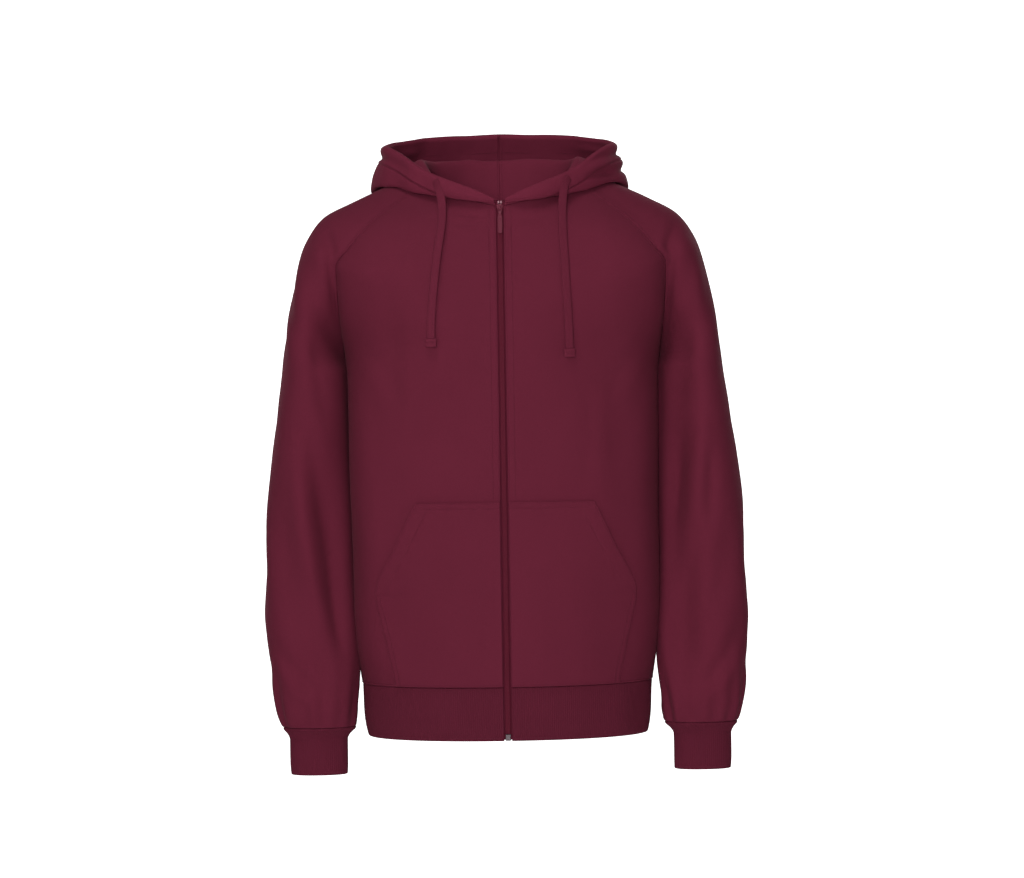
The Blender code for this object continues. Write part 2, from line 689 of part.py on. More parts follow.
def make_slider():
    """The slider, its arch, and the pull tab whose top rail turns inside the arch.

    They are placed from the hinge, which leans as the front does there.
    """
    here, below = front_middle([SLIDER_MIDDLE, SLIDER_MIDDLE - PULL_LENGTH])
    lean = math.atan2(here - below, PULL_LENGTH)
    hinge = bpy.data.objects.new("hinge", None)
    hinge.location = (0, here - SLIDER_PROUD - ARCH_REACH / 2, SLIDER_MIDDLE)
    hinge.rotation_euler.x = -lean
    bpy.context.scene.collection.objects.link(hinge)
    face = ARCH_REACH / 2

    body = box("zip_slider", SLIDER_SIZE, (0, face + SLIDER_SIZE[1] / 2, 0), "metal")
    bevel(body, 0.0011)
    arch_size = (ARCH_WALL, ARCH_REACH + ARCH_WALL, 2 * ARCH_HALF)
    arch = box("arch", arch_size, (0, face + ARCH_WALL / 2 - arch_size[1] / 2, 0), "metal")
    bevel(arch, 0.0004)
    combine(body, arch, "UNION")
    window_size = (3 * ARCH_WALL, ARCH_REACH - 0.00004, 2 * ARCH_HALF - 0.0016)
    window = box("arch_window", window_size, (0, 0, 0), "metal")
    combine(body, window, "DIFFERENCE")

    pull = box("zip_pull", (PULL_WIDTH, PULL_WALL, PULL_LENGTH), (0, 0, 0), "metal")
    pull.data.transform(Matrix.Translation((0, 0, PIN_RADIUS - PULL_LENGTH / 2)))
    bevel(pull, 0.0003)
    eye_height = ARCH_HALF + 0.0030
    eye_size = (PULL_WIDTH - 2 * PULL_SIDE, 3 * PULL_WALL, eye_height)
    eye = box("pull_eye", eye_size, (0, 0, -eye_height / 2 - PIN_RADIUS), "metal")
    combine(pull, eye, "DIFFERENCE")
    for obj in (body, arch, window, pull, eye):
        obj.parent = hinge


def tube(name, middle, wide, deep, finish):
    """A cord with a flat rounded section: each ring lies across the route, wide and deep half axes."""
    turn = 2 * np.pi * (np.arange(CORD_SIDES) + 0.5) / CORD_SIDES
    across = np.sign(np.cos(turn)) * np.abs(np.cos(turn)) ** 0.6
    along = np.sign(np.sin(turn)) * np.abs(np.sin(turn)) ** 0.8
    rings = middle[:, None] + wide[:, None] * across[:, None] + deep[:, None] * along[:, None]
    count = len(middle)
    faces = [(r * CORD_SIDES + c, r * CORD_SIDES + (c + 1) % CORD_SIDES,
              (r + 1) * CORD_SIDES + (c + 1) % CORD_SIDES, (r + 1) * CORD_SIDES + c)
             for r in range(count - 1) for c in range(CORD_SIDES)]
    faces.append(tuple(range(CORD_SIDES)))
    faces.append(tuple((count - 1) * CORD_SIDES + c for c in range(CORD_SIDES)))
    return solid(name, rings.reshape(-1, 3), faces, finish)


def make_cords():
    for side, rows, hand in (("right", RIGHT_CORD, -1), ("left", LEFT_CORD, 1)):
        route = np.stack([rows["x"], rows["y"], rows["z"]], axis=-1)
        share = np.linspace(0, 1, CORD_RINGS)
        line = curve_through(np.linspace(0, 1, len(route)), route, share)
        way = np.gradient(line, axis=0)
        way /= np.linalg.norm(way, axis=1, keepdims=True)
        turned = step_up(share / CORD_TURN_OVER)
        turn = np.radians(CORD_TURN_TOP + (CORD_TURN_LOW - CORD_TURN_TOP) * turned)
        wide = points(np.cos(turn), hand * np.sin(turn), 0)
        wide -= way * (wide * way).sum(axis=1, keepdims=True)
        wide /= np.linalg.norm(wide, axis=1, keepdims=True)
        deep = np.cross(wide, way)
        tube("drawcord_" + side, line, wide * CORD_WIDTH / 2, deep * CORD_DEPTH / 2, "cord")
        end = line[-1]
        knot = box("cord_end_" + side, CORD_END_SIZE,
                   (end[0], end[1], end[2] - CORD_END_SIZE[2] / 2 - CORD_END_GAP), "cord")
        knot.rotation_euler.z = hand * turn[-1]
        bevel(knot, 0.0014)


def main():
    clear_scene()
    make_fronts_and_back()
    make_sleeves()
    make_ribs()
    make_hood()
    make_pockets()
    make_zip()
    make_cords()


main()
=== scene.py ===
import math

import bmesh
import bpy
import numpy as np
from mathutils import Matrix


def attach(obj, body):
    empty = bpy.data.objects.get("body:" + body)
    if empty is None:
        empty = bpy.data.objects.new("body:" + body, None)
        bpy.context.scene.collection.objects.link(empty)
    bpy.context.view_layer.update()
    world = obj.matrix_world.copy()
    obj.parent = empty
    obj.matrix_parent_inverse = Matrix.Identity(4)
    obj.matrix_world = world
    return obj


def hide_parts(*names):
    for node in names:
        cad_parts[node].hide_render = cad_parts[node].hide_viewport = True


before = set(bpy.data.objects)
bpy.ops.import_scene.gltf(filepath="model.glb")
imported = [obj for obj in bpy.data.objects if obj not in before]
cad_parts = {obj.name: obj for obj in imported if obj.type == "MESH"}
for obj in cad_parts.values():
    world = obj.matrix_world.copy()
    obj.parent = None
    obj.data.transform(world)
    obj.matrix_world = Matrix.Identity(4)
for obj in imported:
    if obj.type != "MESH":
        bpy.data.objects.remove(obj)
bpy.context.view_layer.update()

scene = bpy.context.scene
scene.view_settings.view_transform = "Standard"

# Camera: level, in front of the zip, turned a little about its own line of sight
cameraSettings = {"place": (0.0105, -4.0, -0.345), "lens": 110.8, "sensor": 36.0, "turnDegrees": 0.92}

cameraData = bpy.data.cameras.new("camera")
cameraData.lens = cameraSettings["lens"]
cameraData.sensor_width = cameraSettings["sensor"]
cameraData.clip_end = 50
camera = bpy.data.objects.new("camera", cameraData)
camera.location = cameraSettings["place"]
camera.rotation_euler = (math.pi / 2, math.radians(cameraSettings["turnDegrees"]), 0)
scene.collection.objects.link(camera)
scene.camera = camera
print("camera ready")


# Number tools

# A table with named columns: the first line names them and each further line is a row
def table(text):
    lines = text.strip().splitlines()
    values = np.array([[float(word) for word in line.split()] for line in lines[1:]])
    return dict(zip(lines[0].split(), values.T))


# A cubic from one value to the next that leaves and arrives with the given slopes, t running from 0 to 1
def cubic(first, last, leave, arrive, t):
    return (first * (1 + 2 * t) * (1 - t) ** 2 + last * t * t * (3 - 2 * t)
            + leave * t * (1 - t) ** 2 + arrive * t * t * (t - 1))


# A cubic through the values that never swings past them: each slope is a harmonic mean of its neighbours
def smooth(stations, values, at):
    step = np.diff(stations)
    slope = np.diff(values) / step
    same = slope[:-1] * slope[1:] > 0
    before = 2 * step[1:] + step[:-1]
    after = step[1:] + 2 * step[:-1]
    mean = (before + after) / (before / np.where(same, slope[:-1], 1) + after / np.where(same, slope[1:], 1))
    bend = np.concatenate([slope[:1], np.where(same, mean, 0), slope[-1:]])
    at = np.clip(at, stations[0], stations[-1])
    i = np.clip(np.searchsorted(stations, at) - 1, 0, len(slope) - 1)
    t = (at - stations[i]) / step[i]
    return cubic(values[i], values[i + 1], step[i] * bend[i], step[i] * bend[i + 1], t)


# A round curve through each column of values at even stations: slopes are those of the neighbours
def curveThrough(values, at):
    last = len(values) - 1
    bend = np.gradient(values, axis=0)
    i = np.clip((at * last).astype(int), 0, last - 1)
    t = (at * last - i)[:, None]
    return cubic(values[i], values[i + 1], bend[i], bend[i + 1], t)


# Points from three arrays or numbers, spread to one shape and laid side by side
def points(x, y, z):
    return np.stack(np.broadcast_arrays(x, y, z), axis=-1).astype(float)


# Cubic arcs, one for each row of the four corner arrays, at every share
def bezier(a, b, c, d, share):
    t = share[None, :, None]
    a, b, c, d = (corner[:, None, :] for corner in (a, b, c, d))
    return a * (1 - t) ** 3 + 3 * b * t * (1 - t) ** 2 + 3 * c * t * t * (1 - t) + d * t ** 3


# Rises from 0 to 1, level at both ends
def stepUp(x):
    x = np.clip(x, 0, 1)
    return x * x * (3 - 2 * x)


# A bell: 1 at no distance, falling to about a third at one width
def bell(distance, width):
    return np.exp(-(distance / width) ** 2)


# Sines or cosines raised to a power with their sign kept, which squares up the circle they draw
def squareUp(values, power):
    return np.sign(values) * np.abs(values) ** power


# Each vector divided by its own length
def unit(vectors):
    return vectors / np.maximum(np.linalg.norm(vectors, axis=-1, keepdims=True), 1e-9)


# Unit vectors square to a grid: the cross product of its two directions, outwards on the garment
def gridNormals(grid, closed=False):
    if closed:
        wide = np.concatenate([grid[:, -1:], grid, grid[:, :1]], axis=1)
        across = wide[:, 2:] - wide[:, :-2]
    else:
        across = np.gradient(grid, axis=1)
    return unit(np.cross(across, np.gradient(grid, axis=0)))


# Length run along one axis of a grid, from its first row or column
def lengthAlong(grid, axis):
    steps = np.linalg.norm(np.diff(grid, axis=axis), axis=-1)
    start = np.zeros_like(np.take(steps, [0], axis=axis))
    return np.concatenate([start, np.cumsum(steps, axis=axis)], axis=axis)


# Distances from an edge, crowded within 5 mm so that the edge is round and its stitches sink in
edgeSteps = np.array([0, 0.0003, 0.0008, 0.0015, 0.0022, 0.0026, 0.0030, 0.0034, 0.0042])


# Shares from 0 to 1, crowded near both ends and round any further rows of stitches
def stations(length, step, near=(), far=()):
    count = max(int(length / step), 2)
    middle = np.linspace(edgeSteps[-1], length - edgeSteps[-1], count)
    rows = np.array([*near, *(length - distance for distance in far)])
    if len(rows):
        middle = middle[np.abs(middle[:, None] - rows[None, :]).min(axis=1) > 0.0012]
        middle = np.append(middle, (rows[:, None] + np.array([-0.0009, -0.0004, 0, 0.0004, 0.0009])).ravel())
    return np.sort(np.concatenate([edgeSteps[:-1], middle, length - edgeSteps[:-1]])) / length


# Levels of a panel: -1 to 0 runs up to the underarm and 0 to 1 from there up to the neck
def levelStations(lowLength, highLength, step):
    low = np.append(edgeSteps, np.arange(edgeSteps[-1] + step, lowLength, step)) / lowLength - 1
    high = 1 - np.append(edgeSteps, np.arange(edgeSteps[-1] + step, highLength, step))[::-1] / highLength
    return np.concatenate([low, high])


# The cut of the garment, one row for each level or direction
torso = table("""
z       halfWidth   sideY       frontY   backY
-0.650  0.1840      -0.004   -0.128   0.118
-0.600  0.1895      -0.005   -0.132   0.120
-0.500  0.1930      -0.006   -0.134   0.118
-0.400  0.1945      -0.005   -0.132   0.116
-0.300  0.1955      -0.002   -0.130   0.118
-0.262  0.1965       0.002   -0.129   0.119
""")
sleeve = table("""
z       innerX   outerX   halfDepth   middleY
-0.7026 0.1968   0.2890   0.0345      -0.030
-0.7000 0.1962   0.2900   0.0355      -0.030
-0.6930 0.1950   0.2928   0.0382      -0.030
-0.6800 0.1937   0.2965   0.0425      -0.029
-0.6500 0.1925   0.3010   0.0455      -0.027
-0.6000 0.1925   0.3035   0.0495      -0.023
-0.5200 0.1955   0.3040   0.0545      -0.016
-0.4400 0.1975   0.3005   0.0590      -0.010
-0.3600 0.1990   0.2930   0.0640      -0.006
-0.3000 0.1998   0.2860   0.0675      -0.003
-0.2620 0.2005   0.2805   0.0695       0.001
""")
shoulder = table("""
share  midFrontY  midFrontZ  frontX  frontY  frontZ   ridgeX  ridgeZ
0.00   -0.1280    -0.2350    0.2000   0.005  -0.238   0.2772  -0.234
0.12   -0.1265    -0.2100    0.2045  -0.044  -0.184   0.2655  -0.166
0.28   -0.1235    -0.1780    0.2055  -0.074  -0.129   0.2520  -0.108
0.40   -0.1200    -0.1540    0.1905  -0.084  -0.107   0.2415  -0.084
0.53   -0.1160    -0.1290    0.1735  -0.084  -0.086   0.2240  -0.062
0.68   -0.1110    -0.1040    0.1530  -0.077  -0.066   0.1880  -0.043
0.84   -0.1050    -0.0790    0.1220  -0.060  -0.043   0.1430  -0.0225
1.00   -0.0995    -0.0575    0.0880  -0.038  -0.0185  0.0950   0.000
""")
shoulder.update(table("""
share  backX   backY  backZ    midBackY  midBackZ  bodyTurn  sleeveTurn  bulge  over
0.00   0.2000  0.005  -0.238   0.1200    -0.2350   86        -82         0.092  0.095
0.12   0.2010  0.055  -0.186   0.1205    -0.2080   80        -52         0.055  0.080
0.28   0.1890  0.086  -0.130   0.1190    -0.1740   64        -8          0.030  0.062
0.40   0.1730  0.096  -0.106   0.1150    -0.1480   52        14          0.028  0.054
0.53   0.1540  0.100  -0.083   0.1090    -0.1220   44        28          0.032  0.050
0.68   0.1320  0.095  -0.061   0.1000    -0.0950   42        36          0.030  0.044
0.84   0.1020  0.076  -0.037   0.0885    -0.0680   48        44          0.024  0.034
1.00   0.0700  0.050  -0.0130  0.0750    -0.0400   66        64          0.014  0.022
"""))
neck = table("""
angle  radius   z
0      0.0995  -0.0575
45     0.0965  -0.0370
90     0.0950   0.0000
135    0.0840  -0.0210
180    0.0750  -0.0400
""")
hood = table("""
angle crestOut crestUp innerOut innerUp foldOut foldUp outerOut outerUp rimOut rimUp
0      0.3       1.8      0.7       3.0      1.1       4.0     1.6       5.2      2.2      6.6
18     1.0       5.0      4.2       4.8      7.5       0.5     9.5       5.5      8.0     15.5
40     2.0       8.5      8.0       4.5     13.0      -3.5    17.5       5.5     15.5     21.5
66     3.5       9.0     17.0       1.5     34.0     -14.0    37.0       3.0     32.0     27.0
90     5.0       8.5     31.0      -4.5     63.0     -25.0    59.0       0.0     48.5     28.5
115    7.0      19.0     42.0       2.0     79.0     -31.0    78.0      -2.0     56.0     49.0
128    8.0      28.0     47.0       4.0     82.0     -38.0    84.0      -4.0     58.0     62.0
140    9.0      36.0     48.0      -3.0     80.0     -69.0    90.0     -14.0     63.0     73.0
160   12.0      48.0     37.0     -17.0     72.0    -118.0    98.0     -26.0     66.0     88.0
180   13.0      53.0     32.0     -22.0     69.0    -134.0   102.0     -30.0     68.0     96.0
""")
hem = table("""
z       halfWidth   frontY   backY
-0.6506 0.1830      -0.1275  0.1175
-0.6600 0.1822      -0.1272  0.1172
-0.6900 0.1808      -0.1260  0.1160
-0.7090 0.1785      -0.1240  0.1142
-0.7170 0.1765      -0.1222  0.1125
""")
cuff = table("""
z       innerX   outerX   halfDepth   middleY
-0.7032 0.1970   0.2887   0.0342      -0.030
-0.7052 0.1975   0.2883   0.0338      -0.030
-0.7085 0.2010   0.2854   0.0312      -0.0303
-0.7125 0.2050   0.2823   0.0284      -0.0307
-0.7180 0.2076   0.2803   0.0264      -0.0313
-0.7480 0.2076   0.2800   0.0258      -0.034
-0.7620 0.2082   0.2790   0.0250      -0.035
""")
pocketEdge = table("""
z       x
-0.6496 0.1380
-0.5655 0.1530
-0.5400 0.1575
-0.5320 0.1565
-0.4770 0.1330
-0.4225 0.1095
""")
rightCord = table("""
x       y        z
-0.0805 -0.0856 -0.0226
-0.0780 -0.0874 -0.0270
-0.0755 -0.0888 -0.0330
-0.0735 -0.0903 -0.0410
-0.0720 -0.0925 -0.0500
-0.0715 -0.0979 -0.0620
-0.0722 -0.1054 -0.0760
-0.0740 -0.1118 -0.0900
-0.0765 -0.1162 -0.1050
-0.0790 -0.1197 -0.1220
-0.0812 -0.1225 -0.1400
-0.0832 -0.1243 -0.1580
-0.0850 -0.1250 -0.1760
-0.0865 -0.1245 -0.1940
-0.0872 -0.1240 -0.2080
-0.0875 -0.1238 -0.2200
""")
leftCord = table("""
x       y        z
0.0865  -0.0821 -0.0208
0.0840  -0.0843 -0.0250
0.0815  -0.0858 -0.0310
0.0795  -0.0874 -0.0390
0.0782  -0.0900 -0.0490
0.0775  -0.0967 -0.0620
0.0773  -0.1052 -0.0760
0.0776  -0.1121 -0.0910
0.0782  -0.1167 -0.1070
0.0790  -0.1201 -0.1240
0.0798  -0.1228 -0.1420
0.0806  -0.1246 -0.1610
0.0815  -0.1251 -0.1810
0.0824  -0.1245 -0.2010
0.0829  -0.1239 -0.2190
0.0832  -0.1236 -0.2350
""")
cut = {
    "zipEdge": 0.0048, "hoodEdge": 0.0060, "frontRaglan": 66.6, "backRaglan": 125.5,
    "hemSeam": -0.650, "zipTop": -0.0500, "zipTopY": -0.0978, "seamGap": -0.0003,
}
zipAngle = math.degrees(math.asin(cut["zipEdge"] / neck["radius"][0]))


# A column of a table at any place: the smooth cubic through its values, in the order of the key column
def column(rows, name, at, key):
    order = np.argsort(rows[key])
    return smooth(rows[key][order], rows[name][order], np.asarray(at, float))


# A column read by direction, level where the two halves meet at the back
def roundBack(rows, name, angle):
    angles = np.append(rows["angle"], 360 - rows["angle"][-2])
    return smooth(angles, np.append(rows[name], rows[name][-2]), np.asarray(angle, float))


# The neck seam: radius by direction, turned about the neck's middle
def neckSeam(angle):
    radius = roundBack(neck, "radius", angle)
    turn = np.radians(angle)
    return points(radius * np.sin(turn), -radius * np.cos(turn), roundBack(neck, "z", angle))


# A column of the shoulder table, carried on below the underarm by other values
def withShoulders(rows, values, name, levels, weight=1.0):
    depth = rows["z"] - (shoulder["midFrontZ"][0] if rows is torso else shoulder["frontZ"][0])
    places = np.append(depth / abs(depth[0]), shoulder["share"])
    return smooth(places, np.append(values, shoulder[name] * weight), levels)


# Rows drawn onto the neck seam: each is moved by the last row's gap to the seam, times a rise from 0 to 1
# over the top 28% of the levels
def fitToNeck(rows, levels, angles):
    pull = stepUp((levels - 0.72) / 0.28)[:, None, None]
    return rows + (neckSeam(angles)[None] - rows[-1:]) * pull


# Half a body panel: each row is a cubic arc from the middle to the seam, leaving square to the middle
# and arriving at the seam with the turn of its level
def bodyHalf(levels, share, face):
    front = face == "front"
    ahead = 1 if front else -1
    z = torso["z"]
    middle = points(cut["zipEdge"] if front else 0,
                    withShoulders(torso, torso[face + "Y"], "midFrontY" if front else "midBackY", levels),
                    withShoulders(torso, z, "midFrontZ" if front else "midBackZ", levels))
    seam = points(withShoulders(torso, torso["halfWidth"], face + "X", levels),
                  withShoulders(torso, torso["sideY"], face + "Y", levels),
                  withShoulders(torso, z, face + "Z", levels))
    reach = seam - middle
    turn = np.radians(withShoulders(torso, np.full(len(z), 90.0), "bodyTurn", levels))
    hold = 0.58 * np.hypot(reach[:, 0] * np.cos(turn) * 0.75, reach[:, 1] * np.sin(turn))
    inWay = points(hold * np.cos(turn), ahead * hold * np.sin(turn), 0.30 * reach[:, 2])
    rows = bezier(middle, middle + reach * (0.60, 0, 0.02), seam - inWay, seam, share)
    first, last = (zipAngle, cut["frontRaglan"]) if front else (180, cut["backRaglan"])
    return fitToNeck(rows, levels, first + (last - first) * share)


# Rows evened out near the underarm: each point moves towards the mean of its column over 15 rows,
# less and less towards the seam and away from the underarm
def calmRows(grid, levels, share):
    kernel = np.hanning(17)[1:-1]
    wide = np.concatenate([np.repeat(grid[:1], 7, axis=0), grid, np.repeat(grid[-1:], 7, axis=0)])
    mean = sum(weight * wide[i:i + len(grid)] for i, weight in enumerate(kernel)) / kernel.sum()
    blend = stepUp((0.32 - np.abs(levels)) / 0.2)[:, None] * stepUp((1 - share) / 0.35)[None, :]
    return grid + (mean - grid) * blend[..., None] * (0, 1, 0)


# Half a sleeve: each row is a cubic arc from its seam to the ridge over the arm
def sleeveHalf(levels, share, face):
    ahead = 1 if face == "front" else -1
    z = sleeve["z"]
    round43 = sleeve["halfDepth"] * 4 / 3
    seam = points(withShoulders(sleeve, sleeve["innerX"], face + "X", levels),
                  withShoulders(sleeve, sleeve["middleY"], face + "Y", levels),
                  withShoulders(sleeve, z, face + "Z", levels))
    ridge = points(withShoulders(sleeve, sleeve["outerX"], "ridgeX", levels),
                   withShoulders(sleeve, sleeve["middleY"], "share", levels, 0.0),
                   withShoulders(sleeve, z, "ridgeZ", levels))
    turn = np.radians(withShoulders(sleeve, np.full(len(z), -90.0), "sleeveTurn", levels))
    bulge = withShoulders(sleeve, round43, "bulge", levels)
    over = withShoulders(sleeve, round43, "over", levels)
    rise = ridge[:, 2] - seam[:, 2]
    leave = seam + points(bulge * np.cos(turn), ahead * bulge * np.sin(turn), 0.45 * rise)
    arrive = ridge + points(0, -ahead * over, 0.04 * rise)
    rows = bezier(seam, leave, arrive, ridge, share)
    first = cut["frontRaglan"] if face == "front" else cut["backRaglan"]
    return fitToNeck(rows, levels, first + (90 - first) * share)


# A whole sleeve: the front half from its seam to the ridge, then the back half run the other way
def sleeveGrid(levels, share):
    front = sleeveHalf(levels, share, "front")
    back = sleeveHalf(levels, share, "back")
    return np.concatenate([front, back[:, -2::-1]], axis=1)


# Half the hood: a column for each direction, its section a round curve from the neck seam to the rim
def hoodGrid(angles, share):
    base = neckSeam(angles)
    turn = np.radians(angles)
    names = ("crest", "inner", "fold", "outer", "rim")
    out = np.stack([0 * angles] + [roundBack(hood, name + "Out", angles) for name in names]) / 1000
    up = np.stack([0 * angles] + [roundBack(hood, name + "Up", angles) for name in names]) / 1000
    out, up = curveThrough(out, share), curveThrough(up, share)
    return points(base[:, 0] + out * np.sin(turn), base[:, 1] - out * np.cos(turn), base[:, 2] + up)


# How far forward the middle of the front is at a height
def frontMiddle(z):
    places = np.concatenate([hem["z"][::-1], torso["z"][1:], shoulder["midFrontZ"], [cut["zipTop"]]])
    values = np.concatenate([hem["frontY"][::-1], torso["frontY"][1:], shoulder["midFrontY"],
                             [cut["zipTopY"]]])
    return smooth(places, values, np.asarray(z, float))


# Moves every edge of a grid in along its own surface by half the gap
def openSeams(grid, gap, sides="lrbt"):
    grid = grid.copy()
    edges = {"l": (np.s_[:, 0], np.s_[:, 1]), "r": (np.s_[:, -1], np.s_[:, -2]),
             "b": (np.s_[0], np.s_[1]), "t": (np.s_[-1], np.s_[-2])}
    for side in sides:
        edge, inner = edges[side]
        grid[edge] += unit(grid[inner] - grid[edge]) * gap / 2
    return grid


# Folds and drape

# Height of folds over a surface seen flat: each is a bell across a bent line through three points,
# fading to its ends. Ridges rise above 0 and valleys go below it.
def foldHeight(across, up, folds):
    t = np.linspace(0, 1, 25)
    height = np.zeros(across.shape)
    for row in zip(*(folds[name] for name in ("x0", "z0", "x1", "z1", "x2", "z2", "width", "rise"))):
        x0, z0, x1, z1, x2, z2, width, rise = row
        bendX, bendZ = 2 * x1 - (x0 + x2) / 2, 2 * z1 - (z0 + z2) / 2
        lineX = x0 * (1 - t) ** 2 + 2 * bendX * t * (1 - t) + x2 * t * t
        lineZ = z0 * (1 - t) ** 2 + 2 * bendZ * t * (1 - t) + z2 * t * t
        away = np.hypot(across[..., None] - lineX, up[..., None] - lineZ)
        nearest = away.argmin(axis=-1)
        fade = np.sin(np.pi * (0.06 + 0.88 * t[nearest])) ** 0.8
        height += rise * fade * bell(away.min(axis=-1), width)
    return height


# Soft uneven hang of cloth: a sum of slow waves that run mostly downwards
def drapeHeight(across, up, seed, size):
    random = np.random.default_rng(seed)
    height = np.zeros(across.shape)
    for wave in range(8):
        side = 2 * np.pi / random.uniform(0.045, 0.13)
        down = 2 * np.pi / random.uniform(0.16, 0.50) * random.choice([-1, 1])
        turn = random.uniform(0, 2 * np.pi)
        height += random.uniform(0.4, 1.0) * np.sin(side * across + down * up + turn)
    return height * size / 2.2


# How far rows of stitches draw the cloth in: a narrow valley at each distance from an edge
def sinkHeight(away, rows, depth=0.0005, width=0.0006):
    return -depth * sum(bell(away - row, width) for row in rows)


# Small puckers beside a seam: a wave along it, dying away from it
def puckerHeight(along, away, seed, size, reach=0.006, length=0.0085):
    drift = np.sin(2 * np.pi * along / 0.053 + seed) + 0.6 * np.sin(2 * np.pi * along / 0.031 + 2 * seed)
    wave = np.sin(2 * np.pi * along / length + 1.7 * drift)
    return size * wave * (0.65 + 0.35 * drift / 1.6) * bell(away, reach)


# Mesh tools

meshCount = {"faces": 0}


# A mesh of the given points and faces, with its cloth map if it has one, put in the scene and counted
def makeObject(name, co, faces, material, uv=None):
    mesh = bpy.data.meshes.new(name)
    mesh.from_pydata(co, [], faces)
    if uv is not None:
        layer = mesh.uv_layers.new(name="cloth")
        layer.data.foreach_set("uv", np.asarray(uv, np.float32).ravel())
    mesh.shade_smooth()
    made = bpy.data.objects.new(name, mesh)
    scene.collection.objects.link(made)
    mesh.materials.append(material)
    meshCount["faces"] += len(mesh.polygons)
    return made


# A cloth wall: the grid's outer face and its inner face, half a thickness each side of their middle
# surface, thinning in a quarter circle towards every edge, with a rim along the open edges
def clothWall(name, grid, out, thickness, material, closed=False, mirrored=False, soft="lrbt", extra=None):
    rows, columns = grid.shape[:2]
    wide = columns + closed
    side, rise = lengthAlong(grid, 1), lengthAlong(grid, 0)
    away = np.full((rows, columns), 1.0)
    for key, distance in (("l", side), ("r", side[:, -1:] - side), ("b", rise), ("t", rise[-1:] - rise)):
        if key in soft:
            away = np.minimum(away, distance)
    full = np.full((rows, columns), thickness / 2) if extra is None else thickness / 2 + extra
    curve = np.clip(away / full, 0, 1)
    half = full * np.maximum(0.34, np.sqrt(1 - (1 - curve) ** 2))
    middle = grid - out * (thickness / 2)
    co = np.concatenate([(middle + out * half[..., None]).reshape(-1, 3),
                         (middle - out * half[..., None]).reshape(-1, 3)])
    if mirrored:
        co = co * (-1, 1, 1)
    r, c = np.mgrid[0:rows, 0:wide]
    vertex = (r * columns + c % columns).ravel()
    vertex = np.concatenate([vertex, vertex + rows * columns])
    near = r * wide + c
    far = near + rows * wide

    # The rim: four-sided faces between two runs of corners
    def strip(a, b):
        return np.stack([a[1:], a[:-1], b[:-1], b[1:]], axis=-1)
    skin = np.stack([near[:-1, :-1], near[:-1, 1:], near[1:, 1:], near[1:, :-1]], axis=-1).reshape(-1, 4)
    faces = [skin, skin[:, ::-1] + rows * wide, strip(near[0], far[0]), strip(near[-1, ::-1], far[-1, ::-1])]
    if not closed:
        faces += [strip(near[::-1, 0], far[::-1, 0]), strip(near[:, -1], far[:, -1])]
    faces = np.concatenate(faces)
    if mirrored:
        faces = faces[:, ::-1]
    if closed:
        last = side[:, -1:] + np.linalg.norm(grid[:, :1] - grid[:, -1:], axis=-1)
        side, rise = np.append(side, last, axis=1), np.append(rise, rise[:, :1], axis=1)
    uv = np.stack([side, rise], axis=-1).reshape(-1, 2)
    return makeObject(name, co, vertex[faces], material, uv=uv[faces % (rows * wide)])


# A body carried along a path: each ring is a rounded rectangle, its half width and half depth along
# two given directions, with the corner power setting how square it is
def loft(path, wide, deep, power=0.7, sides=16, ring=False):
    turn = 2 * np.pi * (np.arange(sides) + 0.5) / sides
    across, along = squareUp(np.cos(turn), power), squareUp(np.sin(turn), power)
    co = path[:, None] + wide[:, None] * across[:, None] + deep[:, None] * along[:, None]
    count = len(path)
    r, c = np.mgrid[0:count if ring else count - 1, 0:sides]
    here, there = r * sides, (r + 1) % count * sides
    faces = np.stack([here + c, here + (c + 1) % sides, there + (c + 1) % sides, there + c], axis=-1)
    faces = [tuple(face) for face in faces.reshape(-1, 4).tolist()]
    if not ring:
        faces += [tuple(range(sides))[::-1], tuple((count - 1) * sides + i for i in range(sides))]
    return co.reshape(-1, 3), faces


# Several lofts in one object, with their faces turned outwards
def joinLofts(name, parts, material):
    co, faces, start = [], [], 0
    for partCo, partFaces in parts:
        co.append(partCo)
        faces += [tuple(start + i for i in face) for face in partFaces]
        start += len(partCo)
    made = makeObject(name, np.concatenate(co), faces, material)
    turnOut(made)
    return made


# Merges points that fall together, then turns every face outwards
def turnOut(made):
    work = bmesh.new()
    work.from_mesh(made.data)
    bmesh.ops.remove_doubles(work, verts=work.verts, dist=1e-6)
    bmesh.ops.recalc_face_normals(work, faces=work.faces)
    work.to_mesh(made.data)
    work.free()
    made.data.shade_smooth()


# One small shape set at many places: its three axes are given for each place
def scatterShape(name, shape, faces, places, xAxis, yAxis, zAxis, material):
    co = (places[:, None] + xAxis[:, None] * shape[None, :, 0:1] + yAxis[:, None] * shape[None, :, 1:2]
          + zAxis[:, None] * shape[None, :, 2:3])
    everyFace = faces[None] + (np.arange(len(places)) * len(shape))[:, None, None]
    return makeObject(name, co.reshape(-1, 3), everyFace.reshape(-1, 4), material)


# A low barrel of four sides, half as thick at its ends: the form of a stitch and of a zip tooth
def barrel(length, radius, flat=1.0):
    x = np.repeat(np.array([-0.5, -0.3, 0.3, 0.5]) * length, 4)
    size = np.repeat(np.array([0.30, 1.0, 1.0, 0.30]) * radius, 4)
    turn = np.tile(np.pi / 4 + np.arange(4) * np.pi / 2, 4)
    shape = np.stack([x, size * np.cos(turn), size * np.sin(turn) * flat], axis=-1)
    r, c = np.mgrid[0:3, 0:4]
    band = np.stack([r * 4 + c, r * 4 + 4 + c, r * 4 + 4 + (c + 1) % 4, r * 4 + (c + 1) % 4], axis=-1)
    return shape, np.concatenate([band[..., ::-1].reshape(-1, 4), [[3, 2, 1, 0], [12, 13, 14, 15]]])


